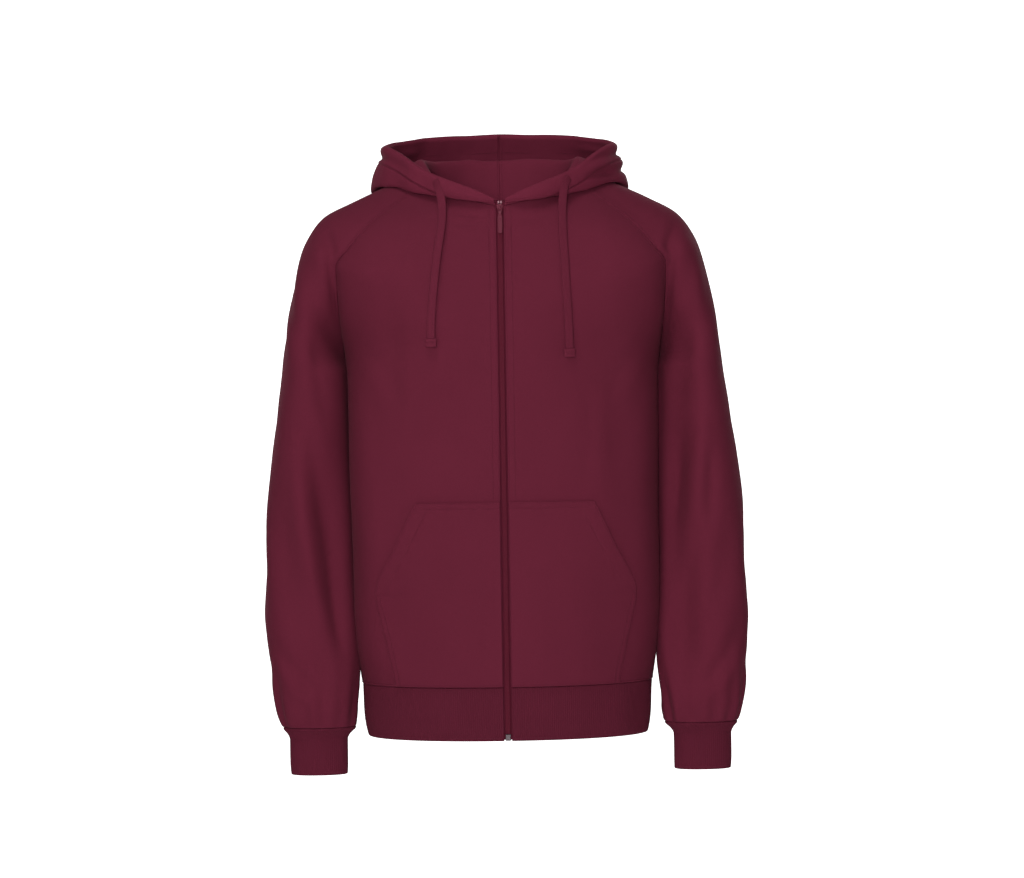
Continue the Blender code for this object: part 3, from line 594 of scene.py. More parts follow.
# The line on a grid that stays a set distance from one of its edges, with the normals under it
def alongEdge(grid, out, side, distance, span=(0.0, 1.0)):
    if side in "bt":
        grid, out = grid.transpose(1, 0, 2), out.transpose(1, 0, 2)
    if side in "rt":
        grid, out = grid[:, ::-1], out[:, ::-1]
    run = lengthAlong(grid, 1)
    wide = run[:, -1] > distance + 0.002
    grid, out, run = grid[wide], out[wide], run[wide]
    after = np.clip((run > distance).argmax(axis=1), 1, None)
    row = np.arange(len(grid))
    share = np.clip((distance - run[row, after - 1]) / (run[row, after] - run[row, after - 1]), 0, 1)[:, None]
    line = grid[row, after - 1] * (1 - share) + grid[row, after] * share
    normal = unit(out[row, after - 1] * (1 - share) + out[row, after] * share)
    total = lengthAlong(line[None], 1)[0]
    keep = (total >= span[0] * total[-1] - 1e-9) & (total <= span[1] * total[-1] + 1e-9)
    return line[keep], normal[keep]


stitchSettings = {"length": 0.0027, "pitch": 0.0032, "thick": 0.00042, "flat": 0.8, "proud": 0.15}


# Stitches at even steps along each line, laid in its direction and half sunk in the cloth
def sewLines(name, lines, material, mirrored=False):
    pitch, thick = stitchSettings["pitch"], stitchSettings["thick"]
    shape, faces = barrel(stitchSettings["length"], thick, stitchSettings["flat"])
    every = []
    for line, out in lines:
        run = lengthAlong(line[None], 1)[0]
        at = np.arange(pitch, run[-1] - pitch / 2, pitch)
        place = np.stack([np.interp(at, run, line[:, i]) for i in range(3)], axis=-1)
        back = np.stack([np.interp(at - 0.001, run, line[:, i]) for i in range(3)], axis=-1)
        normal = unit(np.stack([np.interp(at, run, out[:, i]) for i in range(3)], axis=-1))
        way = unit(place - back)
        lifted = place + normal * thick * stitchSettings["proud"]
        every.append((lifted, way, unit(np.cross(normal, way)), normal))
    place, way, side, normal = (np.concatenate(part) for part in zip(*every))
    if mirrored:
        flip = np.array([-1, 1, 1])
        place, way, side, normal = place * flip, way * flip, side * flip, normal * flip
        faces = faces[:, ::-1]
    return scatterShape(name, shape, faces, place, way, side, normal, material)


# Materials

# A shader node with its settings; a name such as in3 sets the input of that number
def addNode(tree, kind, **values):
    node = tree.nodes.new("ShaderNode" + kind)
    for name, value in values.items():
        if name.startswith("in"):
            node.inputs[int(name[2:])].default_value = value
        else:
            setattr(node, name, value)
    return node


# The result of one Math node: the named operation on one or two numbers or sockets
def math2(tree, operation, a, b=None, clamp=False):
    node = addNode(tree, "Math", operation=operation, use_clamp=clamp)
    for i, value in enumerate((a, b)):
        if isinstance(value, (int, float)):
            node.inputs[i].default_value = value
        elif value is not None:
            tree.links.new(value, node.inputs[i])
    return node.outputs[0]


# An empty node group with its named inputs and outputs, ready to be wired
def newGroup(name, inputs, outputs):
    tree = bpy.data.node_groups.new(name, "ShaderNodeTree")
    for label, kind, value in inputs:
        socket = tree.interface.new_socket(label, in_out="INPUT", socket_type=kind)
        socket.default_value = value
    for label, kind in outputs:
        tree.interface.new_socket(label, in_out="OUTPUT", socket_type=kind)
    return tree, tree.nodes.new("NodeGroupInput"), tree.nodes.new("NodeGroupOutput")


# Knit face: columns of V-shaped loops, a column each Wale and a loop each Course, in metres
def makeKnitGroup():
    tree, start, end = newGroup(
        "knitLoops", [("Vector", "NodeSocketVector", (0, 0, 0)), ("Wale", "NodeSocketFloat", 0.0012),
                      ("Course", "NodeSocketFloat", 0.0010)], [("Height", "NodeSocketFloat")])
    split = addNode(tree, "SeparateXYZ")
    tree.links.new(start.outputs["Vector"], split.inputs[0])
    u = math2(tree, "DIVIDE", split.outputs[0], start.outputs["Wale"])
    v = math2(tree, "DIVIDE", split.outputs[1], start.outputs["Course"])
    fold = math2(tree, "ABSOLUTE", math2(tree, "SUBTRACT", math2(tree, "FRACT", u), 0.5))
    lean = math2(tree, "ADD", v, math2(tree, "MULTIPLY", fold, 1.3))
    wave = math2(tree, "SINE", math2(tree, "MULTIPLY", lean, 2 * math.pi))
    loop = math2(tree, "ADD", math2(tree, "MULTIPLY", wave, 0.3), 0.7)
    groove = math2(tree, "ABSOLUTE", math2(tree, "SINE", math2(tree, "MULTIPLY", u, 2 * math.pi)))
    tree.links.new(math2(tree, "MULTIPLY", loop, math2(tree, "POWER", groove, 0.6)), end.inputs["Height"])
    return tree


# Nap: fine fibre ends and soft clumps that raise the surface unevenly
def makeNapGroup():
    tree, start, end = newGroup(
        "napFibres", [("Vector", "NodeSocketVector", (0, 0, 0)), ("Fibre", "NodeSocketFloat", 2600.0),
                      ("Clump", "NodeSocketFloat", 160.0)], [("Height", "NodeSocketFloat")])
    fibre = addNode(tree, "TexNoise", in3=3.0, in4=0.7)
    clump = addNode(tree, "TexNoise", in3=4.0, in4=0.6)
    for node, label in ((fibre, "Fibre"), (clump, "Clump")):
        tree.links.new(start.outputs["Vector"], node.inputs["Vector"])
        tree.links.new(start.outputs[label], node.inputs["Scale"])
    both = math2(tree, "ADD", math2(tree, "MULTIPLY", fibre.outputs[0], 0.45),
                 math2(tree, "MULTIPLY", clump.outputs[0], 0.9))
    tree.links.new(both, end.inputs["Height"])
    return tree


# Dye shade: the cloth's colour lightened and darkened by fine fibres, threads and broad patches
def makeShadeGroup():
    tree, start, end = newGroup(
        "dyeShade", [("Colour", "NodeSocketColor", (0.1, 0.1, 0.1, 1)),
                     ("Vector", "NodeSocketVector", (0, 0, 0)),
                     ("Amount", "NodeSocketFloat", 0.2), ("Fine", "NodeSocketFloat", 900.0)],
        [("Colour", "NodeSocketColor")])
    fine = addNode(tree, "TexNoise", in3=3.0, in4=0.65)
    broad = addNode(tree, "TexNoise", in2=9.0, in3=2.0, in4=0.5)
    tree.links.new(start.outputs["Vector"], fine.inputs["Vector"])
    tree.links.new(start.outputs["Fine"], fine.inputs["Scale"])
    tree.links.new(start.outputs["Vector"], broad.inputs["Vector"])
    mixed = math2(tree, "ADD", math2(tree, "MULTIPLY", fine.outputs[0], 0.75),
                  math2(tree, "MULTIPLY", broad.outputs[0], 0.25))
    shift = math2(tree, "MULTIPLY", math2(tree, "SUBTRACT", mixed, 0.5), start.outputs["Amount"])
    factor = math2(tree, "ADD", math2(tree, "MULTIPLY", shift, 2.0), 1.0)
    scale = addNode(tree, "VectorMath", operation="SCALE")
    tree.links.new(start.outputs["Colour"], scale.inputs[0])
    tree.links.new(factor, scale.inputs["Scale"])
    tree.links.new(scale.outputs[0], end.inputs["Colour"])
    return tree


groups = {"knit": makeKnitGroup(), "nap": makeNapGroup(), "shade": makeShadeGroup()}
finishes = {
    "fleece": {"colour": (0.1130, 0.0142, 0.0305), "rough": 0.93, "sheen": 0.04, "wale": 0.00125,
               "course": 0.00095, "knit": 0.10, "nap": 0.30, "amount": 0.22},
    # The hood's fleece is the body's fleece made about 14% lighter: painted light, standing in for light that
    # the hood's shaded hollow does not get
    "hoodCloth": {"colour": (0.1290, 0.0162, 0.0348), "rough": 0.93, "sheen": 0.04, "wale": 0.00125,
                  "course": 0.00095, "knit": 0.10, "nap": 0.30, "amount": 0.22},
    "rib": {"colour": (0.0940, 0.0118, 0.0255), "rough": 0.93, "sheen": 0.03, "wale": 0.00130,
            "course": 0.00100, "knit": 0.16, "nap": 0.20, "amount": 0.22},
    "cord": {"colour": (0.1180, 0.0150, 0.0320), "rough": 0.90, "sheen": 0.03, "wale": 0.00180,
             "course": 0.00170, "knit": 0.45, "nap": 0.15, "amount": 0.25},
}


# Knitted cloth: its shade from the dye group, its relief from the loops and the nap
def makeCloth(name, facts):
    made = bpy.data.materials.new(name)
    made.use_nodes = True
    tree = made.node_tree
    shader = tree.nodes["Principled BSDF"]
    place = addNode(tree, "TexCoord")
    weave = addNode(tree, "UVMap", uv_map="cloth")
    shade = addNode(tree, "Group", node_tree=groups["shade"])
    shade.inputs["Colour"].default_value = (*facts["colour"], 1)
    shade.inputs["Amount"].default_value = facts["amount"]
    knit = addNode(tree, "Group", node_tree=groups["knit"])
    knit.inputs["Wale"].default_value = facts["wale"]
    knit.inputs["Course"].default_value = facts["course"]
    nap = addNode(tree, "Group", node_tree=groups["nap"])
    tree.links.new(place.outputs["Object"], shade.inputs["Vector"])
    tree.links.new(place.outputs["Object"], nap.inputs["Vector"])
    tree.links.new(weave.outputs[0], knit.inputs["Vector"])
    tree.links.new(shade.outputs[0], shader.inputs["Base Color"])
    height = math2(tree, "ADD", math2(tree, "MULTIPLY", knit.outputs[0], facts["knit"]),
                   math2(tree, "MULTIPLY", nap.outputs[0], facts["nap"]))
    bump = addNode(tree, "Bump")
    bump.inputs["Strength"].default_value = 1.0
    bump.inputs["Distance"].default_value = 0.0006
    tree.links.new(height, bump.inputs["Height"])
    tree.links.new(bump.outputs[0], shader.inputs["Normal"])
    shader.inputs["Roughness"].default_value = facts["rough"]
    shader.inputs["Specular IOR Level"].default_value = 0.05
    shader.inputs["Sheen Weight"].default_value = facts["sheen"]
    shader.inputs["Sheen Roughness"].default_value = 0.40
    shader.inputs["Sheen Tint"].default_value = (1.0, 0.30, 0.40, 1)
    return made


# Hard trims and thread: colour with the dye group, gloss varied by fine noise
def makeTrim(name, colour, rough, metallic=0.0, amount=0.12, grain=1800.0, bump=0.00008, gloss=0.5):
    made = bpy.data.materials.new(name)
    made.use_nodes = True
    tree = made.node_tree
    shader = tree.nodes["Principled BSDF"]
    place = addNode(tree, "TexCoord")
    shade = addNode(tree, "Group", node_tree=groups["shade"])
    shade.inputs["Colour"].default_value = (*colour, 1)
    shade.inputs["Amount"].default_value = amount
    shade.inputs["Fine"].default_value = grain
    noise = addNode(tree, "TexNoise", in3=3.0)
    noise.inputs["Scale"].default_value = grain
    tree.links.new(place.outputs["Object"], shade.inputs["Vector"])
    tree.links.new(place.outputs["Object"], noise.inputs["Vector"])
    tree.links.new(shade.outputs[0], shader.inputs["Base Color"])
    spread = math2(tree, "ADD", math2(tree, "MULTIPLY", noise.outputs[0], 0.2), rough - 0.1)
    tree.links.new(spread, shader.inputs["Roughness"])
    relief = addNode(tree, "Bump")
    relief.inputs["Distance"].default_value = bump
    tree.links.new(noise.outputs[0], relief.inputs["Height"])
    tree.links.new(relief.outputs[0], shader.inputs["Normal"])
    shader.inputs["Metallic"].default_value = metallic
    shader.inputs["Specular IOR Level"].default_value = gloss
    return made


trimFacts = {
    "thread": {"colour": (0.104, 0.0125, 0.0275), "rough": 0.75, "amount": 0.3, "grain": 3000.0,
               "gloss": 0.08},
    "zipTape": {"colour": (0.100, 0.0115, 0.0255), "rough": 0.90, "grain": 1500.0, "bump": 0.0002,
                "gloss": 0.04},
    "zipCoil": {"colour": (0.112, 0.0120, 0.0265), "rough": 0.65, "gloss": 0.06},
    "zipEnamel": {"colour": (0.125, 0.0145, 0.0320), "rough": 0.42, "metallic": 0.25, "gloss": 0.30},
    "zipSteel": {"colour": (0.065, 0.052, 0.056), "rough": 0.42, "metallic": 0.9},
    "zipStop": {"colour": (0.42, 0.21, 0.25), "rough": 0.40, "metallic": 0.6},
}
cloth = {name: makeCloth(name, facts) for name, facts in finishes.items()}
trim = {name: makeTrim(name, **facts) for name, facts in trimFacts.items()}
print("materials ready")


# Puts a piece and the pieces sewn to it on the garment's body, and hides the CAD node that the piece stands
# for
def joinGarment(piece, node, sewn=()):
    for each in (piece, *sewn):
        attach(each, "garment")
    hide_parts(node)


# Cords, flat and knitted, hanging from their eyelets to a folded and sewn end
cordSettings = {"width": 0.0110, "depth": 0.0030, "turnTop": 44.0, "turnLow": 20.0, "turnOver": 0.22,
                "rings": 150, "sides": 20, "endWidth": 0.0150, "endDepth": 0.0046, "endHeight": 0.0110,
                "endSeams": (0.36, 0.64), "endSeamHalf": 0.0072}


# A flat cord: a rounded strip carried along the route, turned from the hood's face to the chest's
def makeCord(side, rows, hand):
    route = np.stack([rows["x"], rows["y"], rows["z"]], axis=-1)
    share = np.linspace(0, 1, cordSettings["rings"])
    line = curveThrough(route, share)
    way = unit(np.gradient(line, axis=0))
    turned = stepUp(share / cordSettings["turnOver"])
    top, low = cordSettings["turnTop"], cordSettings["turnLow"]
    turn = np.radians(top + (low - top) * turned)
    wide = points(np.cos(turn), hand * np.sin(turn), 0)
    wide = unit(wide - way * (wide * way).sum(axis=1, keepdims=True))
    deep = np.cross(wide, way)
    around = 2 * np.pi * (np.arange(cordSettings["sides"]) + 0.5) / cordSettings["sides"]
    across = squareUp(np.cos(around), 0.75)
    along = squareUp(np.sin(around), 0.8) * (1 - 0.16 * (1 - np.abs(across)) ** 2)
    grid = (line[:, None] + wide[:, None] * (across * cordSettings["width"] / 2)[None, :, None]
            + deep[:, None] * (along * cordSettings["depth"] / 2)[None, :, None])
    sides, count = cordSettings["sides"], len(line)
    r, c = np.mgrid[0:count, 0:sides + 1]
    vertex = (r * sides + c % sides).ravel()
    ids = r * (sides + 1) + c
    faces = np.stack([ids[:-1, :-1], ids[:-1, 1:], ids[1:, 1:], ids[1:, :-1]], axis=-1).reshape(-1, 4)
    run = lengthAlong(line[None], 1)[0]
    uv = np.stack([c * (2 * cordSettings["width"] / sides), run[r]], axis=-1).reshape(-1, 2)
    caps = [tuple(range(sides)), tuple(range((count - 1) * sides, count * sides))]
    everyFace = [tuple(face) for face in vertex[faces].tolist()] + caps
    everyUv = np.concatenate([uv[faces].reshape(-1, 2), np.zeros((2 * sides, 2))])
    made = makeObject("drawcord" + side, grid.reshape(-1, 3), everyFace, cloth["cord"], uv=everyUv)
    turnOut(made)

    # The end: the cord turned up on itself and sewn, a bar wider than the cord
    down = way[-1]
    start = line[-1] - down * 0.0003
    place = np.linspace(0, 1, 15)
    swell = np.sqrt(np.clip(1 - (2 * place - 1) ** 8, 0, 1))
    path = start + down * (place * cordSettings["endHeight"])[:, None]
    halfWide = wide[-1] * (cordSettings["endWidth"] / 2 * (0.90 + 0.10 * swell))[:, None]
    halfDeep = deep[-1] * (cordSettings["endDepth"] / 2 * (0.35 + 0.65 * swell)
                           * (1 - 0.25 * bell(place - 0.5, 0.10)))[:, None]
    end = joinLofts("cordEnd" + side, [loft(path, halfWide, halfDeep, 0.55, 20)], cloth["cord"])
    face = -deep[-1] if deep[-1][1] > 0 else deep[-1]
    seamLines = []
    reach = np.linspace(-cordSettings["endSeamHalf"], cordSettings["endSeamHalf"], 9)[:, None]
    for height in cordSettings["endSeams"]:
        middle = start + down * height * cordSettings["endHeight"] + face * cordSettings["endDepth"] * 0.44
        seamLines.append((middle + wide[-1] * reach, np.tile(face, (9, 1))))
    seam = sewLines("cordEndStitches" + side, seamLines, trim["thread"])
    joinGarment(made, "drawcord_" + side.lower(), sewn=(end, seam))
    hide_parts("cord_end_" + side.lower())
    print("cord", side, round(float(run[-1]), 4))


makeCord("Right", rightCord, -1)
makeCord("Left", leftCord, 1)


# Fronts and back
bodySettings = {"thickness": 0.0020, "step": 0.0036, "drape": 0.0011, "pucker": 0.00028, "bend": 0.0060,
                "bendX": 0.171, "bendWide": 0.024, "bendFoot": -0.66, "bendTop": -0.17, "lowLength": 0.415,
                "highLength": 0.230, "frontWidth": 0.222, "backWidth": 0.213, "backStep": 1.3,
                "raglanFoot": 0.02}
stitchRows = {"zip": 0.0018, "zipFar": 0.0090, "seam": 0.0030, "hem": 0.0026}  # distances from the edge
frontFolds = table("""
x0      z0      x1      z1      x2      z2      width   rise
-0.134  -0.166  -0.136  -0.245  -0.137  -0.320  0.012   -0.0016
-0.118  -0.190  -0.119  -0.270  -0.122  -0.340  0.014    0.0012
0.106   -0.259  0.106   -0.330  0.104   -0.399  0.012   -0.0016
0.122   -0.270  0.121   -0.340  0.117   -0.400  0.014    0.0012
-0.106  -0.560  -0.106  -0.610  -0.104  -0.645  0.020   -0.0018
-0.183  -0.240  -0.165  -0.290  -0.152  -0.350  0.014   -0.0022
-0.176  -0.225  -0.150  -0.255  -0.128  -0.300  0.010   -0.0014
0.183   -0.240  0.168   -0.290  0.158   -0.345  0.014   -0.0022
0.176   -0.225  0.153   -0.252  0.133   -0.290  0.010   -0.0014
-0.150  -0.400  -0.160  -0.470  -0.158  -0.540  0.018    0.0018
0.168   -0.400  0.166   -0.470  0.160   -0.530  0.018    0.0018
0.060   -0.560  0.066   -0.605  0.070   -0.645  0.020   -0.0012
-0.016  -0.066  -0.034  -0.068  -0.058  -0.060  0.0035  -0.0018
-0.018  -0.074  -0.038  -0.077  -0.062  -0.069  0.0040  -0.0014
-0.020  -0.070  -0.036  -0.073  -0.060  -0.065  0.0030   0.0008
0.020   -0.070  0.036   -0.073  0.052   -0.066  0.0045  -0.0012
""")
backFolds = table("""
x0      z0      x1      z1      x2      z2      width   rise
-0.170  -0.240  -0.140  -0.300  -0.120  -0.390  0.016   -0.0026
-0.150  -0.215  -0.110  -0.265  -0.085  -0.340  0.013   -0.0018
0.172   -0.240  0.145   -0.295  0.128   -0.380  0.016   -0.0026
0.152   -0.215  0.115   -0.260  0.088   -0.330  0.013   -0.0018
-0.070  -0.520  -0.040  -0.560  -0.020  -0.610  0.022   -0.0022
0.060   -0.490  0.050   -0.560  0.060   -0.630  0.022    0.0022
0.110   -0.540  0.115   -0.590  0.108   -0.640  0.018   -0.0020
-0.120  -0.540  -0.112  -0.590  -0.118  -0.640  0.018    0.0020
""")


# Share of the sunk row beside the raglan seam: 0 below the underarm, rising to 1 just above it
def raglanFade(levels):
    return stepUp(levels / bodySettings["raglanFoot"])[:, None]


# Height of the front over its plain form: folds and drape, and a fuller bend where it turns to the
# side, all quiet near its seams
def frontHeight(x, z, away):
    hang = drapeHeight(x, z, 5, bodySettings["drape"]) + foldHeight(x, z, frontFolds)
    full = bell(np.abs(x) - bodySettings["bendX"], bodySettings["bendWide"])
    full = full * stepUp((z - bodySettings["bendFoot"]) / 0.10)
    hang += bodySettings["bend"] * full * stepUp((bodySettings["bendTop"] - z) / 0.10)
    return hang * stepUp(away / 0.030 + 0.02)


# A front: its plain form moved out along its normals by folds, puckers and sunk rows of stitches
def frontSurface(levels, share, hand):
    pucker = bodySettings["pucker"]
    grid = calmRows(bodyHalf(levels, share, "front"), levels, share)
    out = gridNormals(grid)
    side, rise = lengthAlong(grid, 1), lengthAlong(grid, 0)
    seam, top = side[:, -1:] - side, rise[-1:] - rise
    away = np.minimum(np.minimum(seam, rise), np.minimum(top * 3.0, side + 0.008))
    height = frontHeight(grid[..., 0] * hand, grid[..., 2], away)
    height = height + puckerHeight(rise, seam, 1.3 + hand, pucker)
    height += puckerHeight(side, rise, 2.1 + hand, pucker * 1.3)
    height += puckerHeight(rise, side, 0.7 + hand, pucker * 0.9, reach=0.010, length=0.014)
    height += sinkHeight(side, (stitchRows["zip"], stitchRows["zipFar"]))
    height += sinkHeight(rise, (stitchRows["hem"],))
    height += sinkHeight(seam, (stitchRows["seam"],)) * raglanFade(levels)
    grid = grid + out * height[..., None]
    return grid, gridNormals(grid)


# The back: both halves in one, moved out along its normals in the same way, with a deeper drape
def backSurface(levels, share):
    pucker = bodySettings["pucker"]
    half = bodyHalf(levels, share, "back")
    grid = np.concatenate([half[:, :0:-1], half * (-1, 1, 1)], axis=1)
    out = gridNormals(grid)
    side, rise = lengthAlong(grid, 1), lengthAlong(grid, 0)
    seam = np.minimum(side, side[:, -1:] - side)
    away = np.minimum(np.minimum(seam, rise), rise[-1:] - rise)
    height = (drapeHeight(grid[..., 0], grid[..., 2], 11, bodySettings["drape"] * 1.3)
              + foldHeight(grid[..., 0], grid[..., 2], backFolds)) * stepUp(away / 0.030)
    height += puckerHeight(rise, seam, 0.4, pucker)
    height += puckerHeight(side, rise, 2.6, pucker * 1.3) + sinkHeight(rise, (stitchRows["hem"],))
    height += sinkHeight(seam, (stitchRows["seam"],)) * raglanFade(levels)
    return grid + out * height[..., None]


bodyLevels = levelStations(bodySettings["lowLength"], bodySettings["highLength"], bodySettings["step"])
bodyRaglan = np.searchsorted(bodyLevels, bodySettings["raglanFoot"])  # the first row with raglan stitches


# One front, with stitches along the zip, the raglan seam and the hem
def makeFront(side, hand):
    share = stations(bodySettings["frontWidth"], bodySettings["step"], near=(stitchRows["zipFar"],))
    grid, out = frontSurface(bodyLevels, share, hand)
    grid = openSeams(grid, cut["seamGap"], "rbt")
    piece = clothWall("front" + side, grid, out, bodySettings["thickness"], cloth["fleece"],
                      mirrored=hand < 0)
    seams = sewLines("frontStitches" + side, [
        alongEdge(grid, out, "l", stitchRows["zip"]),
        alongEdge(grid, out, "l", stitchRows["zipFar"]),
        alongEdge(grid[bodyRaglan:], out[bodyRaglan:], "r", stitchRows["seam"]),
        alongEdge(grid, out, "b", stitchRows["hem"]),
    ], trim["thread"], mirrored=hand < 0)
    joinGarment(piece, "front_" + side.lower(), sewn=(seams,))


# The back, with stitches along both raglan seams and the hem; its middle has no crowded columns
def makeBack():
    share = stations(bodySettings["backWidth"], bodySettings["step"] * bodySettings["backStep"])
    grid = backSurface(bodyLevels, np.append(0, share[len(edgeSteps):]))
    grid = openSeams(grid, cut["seamGap"])
    out = gridNormals(grid)
    piece = clothWall("backPanel", grid, out, bodySettings["thickness"], cloth["fleece"])
    seams = sewLines("backStitches", [
        alongEdge(grid[bodyRaglan:], out[bodyRaglan:], "l", stitchRows["seam"]),
        alongEdge(grid[bodyRaglan:], out[bodyRaglan:], "r", stitchRows["seam"]),
        alongEdge(grid, out, "b", stitchRows["hem"]),
    ], trim["thread"])
    joinGarment(piece, "back", sewn=(seams,))


makeFront("Left", 1)
makeFront("Right", -1)
makeBack()
print("fronts and back ready", meshCount["faces"])


# Sleeves
sleeveSettings = {"thickness": 0.0020, "step": 0.0036, "drape": 0.0009, "press": 0.0046, "folds": 1.25,
                  "hollowX": 0.219, "hollowWide": 0.019, "hollowLeft": 0.0225, "hollowRight": 0.0130,
                  "fromLeft": -0.180, "fromRight": -0.320, "leanLeft": 0.0, "leanRight": 0.0055,
                  "lowLength": 0.465, "highLength": 0.27, "halfWidth": 0.150, "gather": 0.0030,
                  "gatherReach": 0.050, "pressFoot": -0.68, "pressTop": -0.236, "hollowFoot": -0.675,
                  "leanFrom": -0.565}
sleeveFolds = {"Right": table("""
x0      z0      x1      z1      x2      z2      width   rise
-0.220  -0.080  -0.208  -0.125  -0.204  -0.190  0.0075  -0.0045
-0.231  -0.090  -0.221  -0.140  -0.219  -0.200  0.012    0.0030
-0.259  -0.350  -0.250  -0.450  -0.236  -0.524  0.013    0.0052
-0.243  -0.500  -0.229  -0.570  -0.221  -0.640  0.010    0.0040
-0.238  -0.340  -0.229  -0.430  -0.216  -0.500  0.012   -0.0050
-0.224  -0.480  -0.215  -0.550  -0.209  -0.610  0.010   -0.0040
-0.285  -0.420  -0.274  -0.500  -0.262  -0.580  0.018   -0.0030
-0.292  -0.590  -0.270  -0.630  -0.245  -0.655  0.010   -0.0030
-0.290  -0.620  -0.266  -0.655  -0.240  -0.675  0.009    0.0024
-0.232  -0.220  -0.228  -0.270  -0.222  -0.320  0.010   -0.0030
-0.218  -0.180  -0.216  -0.280  -0.212  -0.380  0.016   -0.0030
"""), "Left": table("""
x0      z0      x1      z1      x2      z2      width   rise
0.219   -0.080  0.208   -0.125  0.204   -0.190  0.0075  -0.0050
0.231   -0.090  0.221   -0.140  0.219   -0.200  0.012    0.0030
0.247   -0.330  0.236   -0.430  0.2215  -0.498  0.011    0.0050
0.232   -0.480  0.217   -0.540  0.210   -0.600  0.009    0.0036
0.259   -0.360  0.258   -0.410  0.257   -0.460  0.009   -0.0034
0.226   -0.330  0.218   -0.400  0.211   -0.460  0.010   -0.0050
0.285   -0.440  0.270   -0.520  0.246   -0.590  0.016   -0.0034
0.293   -0.580  0.268   -0.625  0.236   -0.660  0.010   -0.0034
0.288   -0.630  0.262   -0.660  0.238   -0.678  0.008    0.0024
0.230   -0.220  0.226   -0.270  0.221   -0.320  0.010   -0.0030
""")}
sleeveSideFolds = table("""
x0      z0      x1      z1      x2      z2      width   rise
0.020   -0.240  0.000   -0.300  -0.022  -0.350  0.016   -0.0030
0.030   -0.330  0.006   -0.400  -0.020  -0.460  0.018    0.0030
0.020   -0.420  -0.005  -0.480  -0.040  -0.520  0.015   -0.0036
0.010   -0.520  -0.020  -0.560  -0.050  -0.590  0.014    0.0030
0.006   -0.580  -0.022  -0.620  -0.058  -0.640  0.012   -0.0032
""")


# Gathers above the cuff: waves round the sleeve that grow downwards and die out at its seam
def gatherHeight(around, up, seed):
    random = np.random.default_rng(seed)
    wave = sum(random.uniform(0.5, 1.0)
               * np.sin(2 * np.pi * (cycles * around + random.uniform(0, 1)) + up * 25)
               for cycles in (5, 7, 9, 11, 14))
    grow = bell(up - 0.016, sleeveSettings["gatherReach"]) * stepUp(up / 0.006 + 0.35)
    return sleeveSettings["gather"] * wave / 2.6 * grow


# How far each point of a sleeve stands over its plain form: folds in front, behind and at the side, drape,
# the flat where the arm lies on the body, gathers, puckers and sunk stitches
def sleeveHeight(grid, out, levels, side, hand):
    across, rise = lengthAlong(grid, 1), lengthAlong(grid, 0)
    seam = np.minimum(across, across[:, -1:] - across)
    away = np.minimum(seam * 1.6, rise[-1:] - rise)
    x, y, z = grid[..., 0] * hand, grid[..., 1], grid[..., 2]
    facing = stepUp(-out[..., 1] / 0.5)
    height = foldHeight(x, z, sleeveFolds[side]) * facing * stepUp(seam / 0.012) * sleeveSettings["folds"]
    height += foldHeight(y, z, sleeveSideFolds) * stepUp(out[..., 0] / 0.6) * 0.6
    height += foldHeight(x * hand, z, sleeveFolds["Left"]) * stepUp(out[..., 1] / 0.5) * 0.7
    height += drapeHeight(across, z, 21 + hand, sleeveSettings["drape"])
    height = height * stepUp(away / 0.025 + 0.02) * stepUp(rise / 0.02)
    pressed = stepUp(-out[..., 0] / 0.8) * stepUp((z - sleeveSettings["pressFoot"]) / 0.06)
    height += sleeveSettings["press"] * pressed * stepUp((sleeveSettings["pressTop"] - z) / 0.020)
    height += gatherHeight(across / across[:, -1:], rise, 31 + hand)
    height += puckerHeight(rise, seam, 3.3 + hand, bodySettings["pucker"])
    height += sinkHeight(seam, (stitchRows["seam"],)) * raglanFade(levels)
    return height


# One sleeve. The inner half of its front falls back towards the body, as on an arm held slightly forward,
# by a bell across it that fades at both ends, and its forearm leans in by its own amount
def makeSleeve(side, hand):
    levels = levelStations(sleeveSettings["lowLength"], sleeveSettings["highLength"], sleeveSettings["step"])
    evenShare = stations(sleeveSettings["halfWidth"], sleeveSettings["step"])
    grid = sleeveGrid(levels, np.append(evenShare[:-len(edgeSteps)], 1.0))
    out = gridNormals(grid)
    height = sleeveHeight(grid, out, levels, side, hand)
    x, z = grid[..., 0] * hand, grid[..., 2]
    hollow = bell(np.abs(x) - sleeveSettings["hollowX"], sleeveSettings["hollowWide"])
    hollow *= stepUp((z - sleeveSettings["hollowFoot"]) / 0.09)
    hollow *= stepUp((sleeveSettings["from" + side] - z) / 0.12) * stepUp(-out[..., 1] / 0.25)
    lean = sleeveSettings["lean" + side] * stepUp((sleeveSettings["leanFrom"] - z) / 0.12)
    grid = grid + out * height[..., None] + points(-lean, sleeveSettings["hollow" + side] * hollow, 0)
    grid = openSeams(grid, cut["seamGap"])
    out = gridNormals(grid)
    piece = clothWall("sleeve" + side, grid, out, sleeveSettings["thickness"], cloth["fleece"],
                      mirrored=hand < 0)
    raglan = np.searchsorted(levels, bodySettings["raglanFoot"])
    seams = sewLines("sleeveStitches" + side, [
        alongEdge(grid[raglan:], out[raglan:], "l", stitchRows["seam"]),
        alongEdge(grid[raglan:], out[raglan:], "r", stitchRows["seam"]),
    ], trim["thread"], mirrored=hand < 0)
    joinGarment(piece, "sleeve_" + side.lower(), sewn=(seams,))


makeSleeve("Left", 1)
makeSleeve("Right", -1)
print("sleeves ready", meshCount["faces"])


# Rib knit: hem band and cuffs
ribSettings = {"thickness": 0.0026, "pitch": 0.0026, "depth": 0.00055, "columns": 4, "sway": 0.0006,
               "cuffStep": 0.0035, "hemStep": 0.0080}


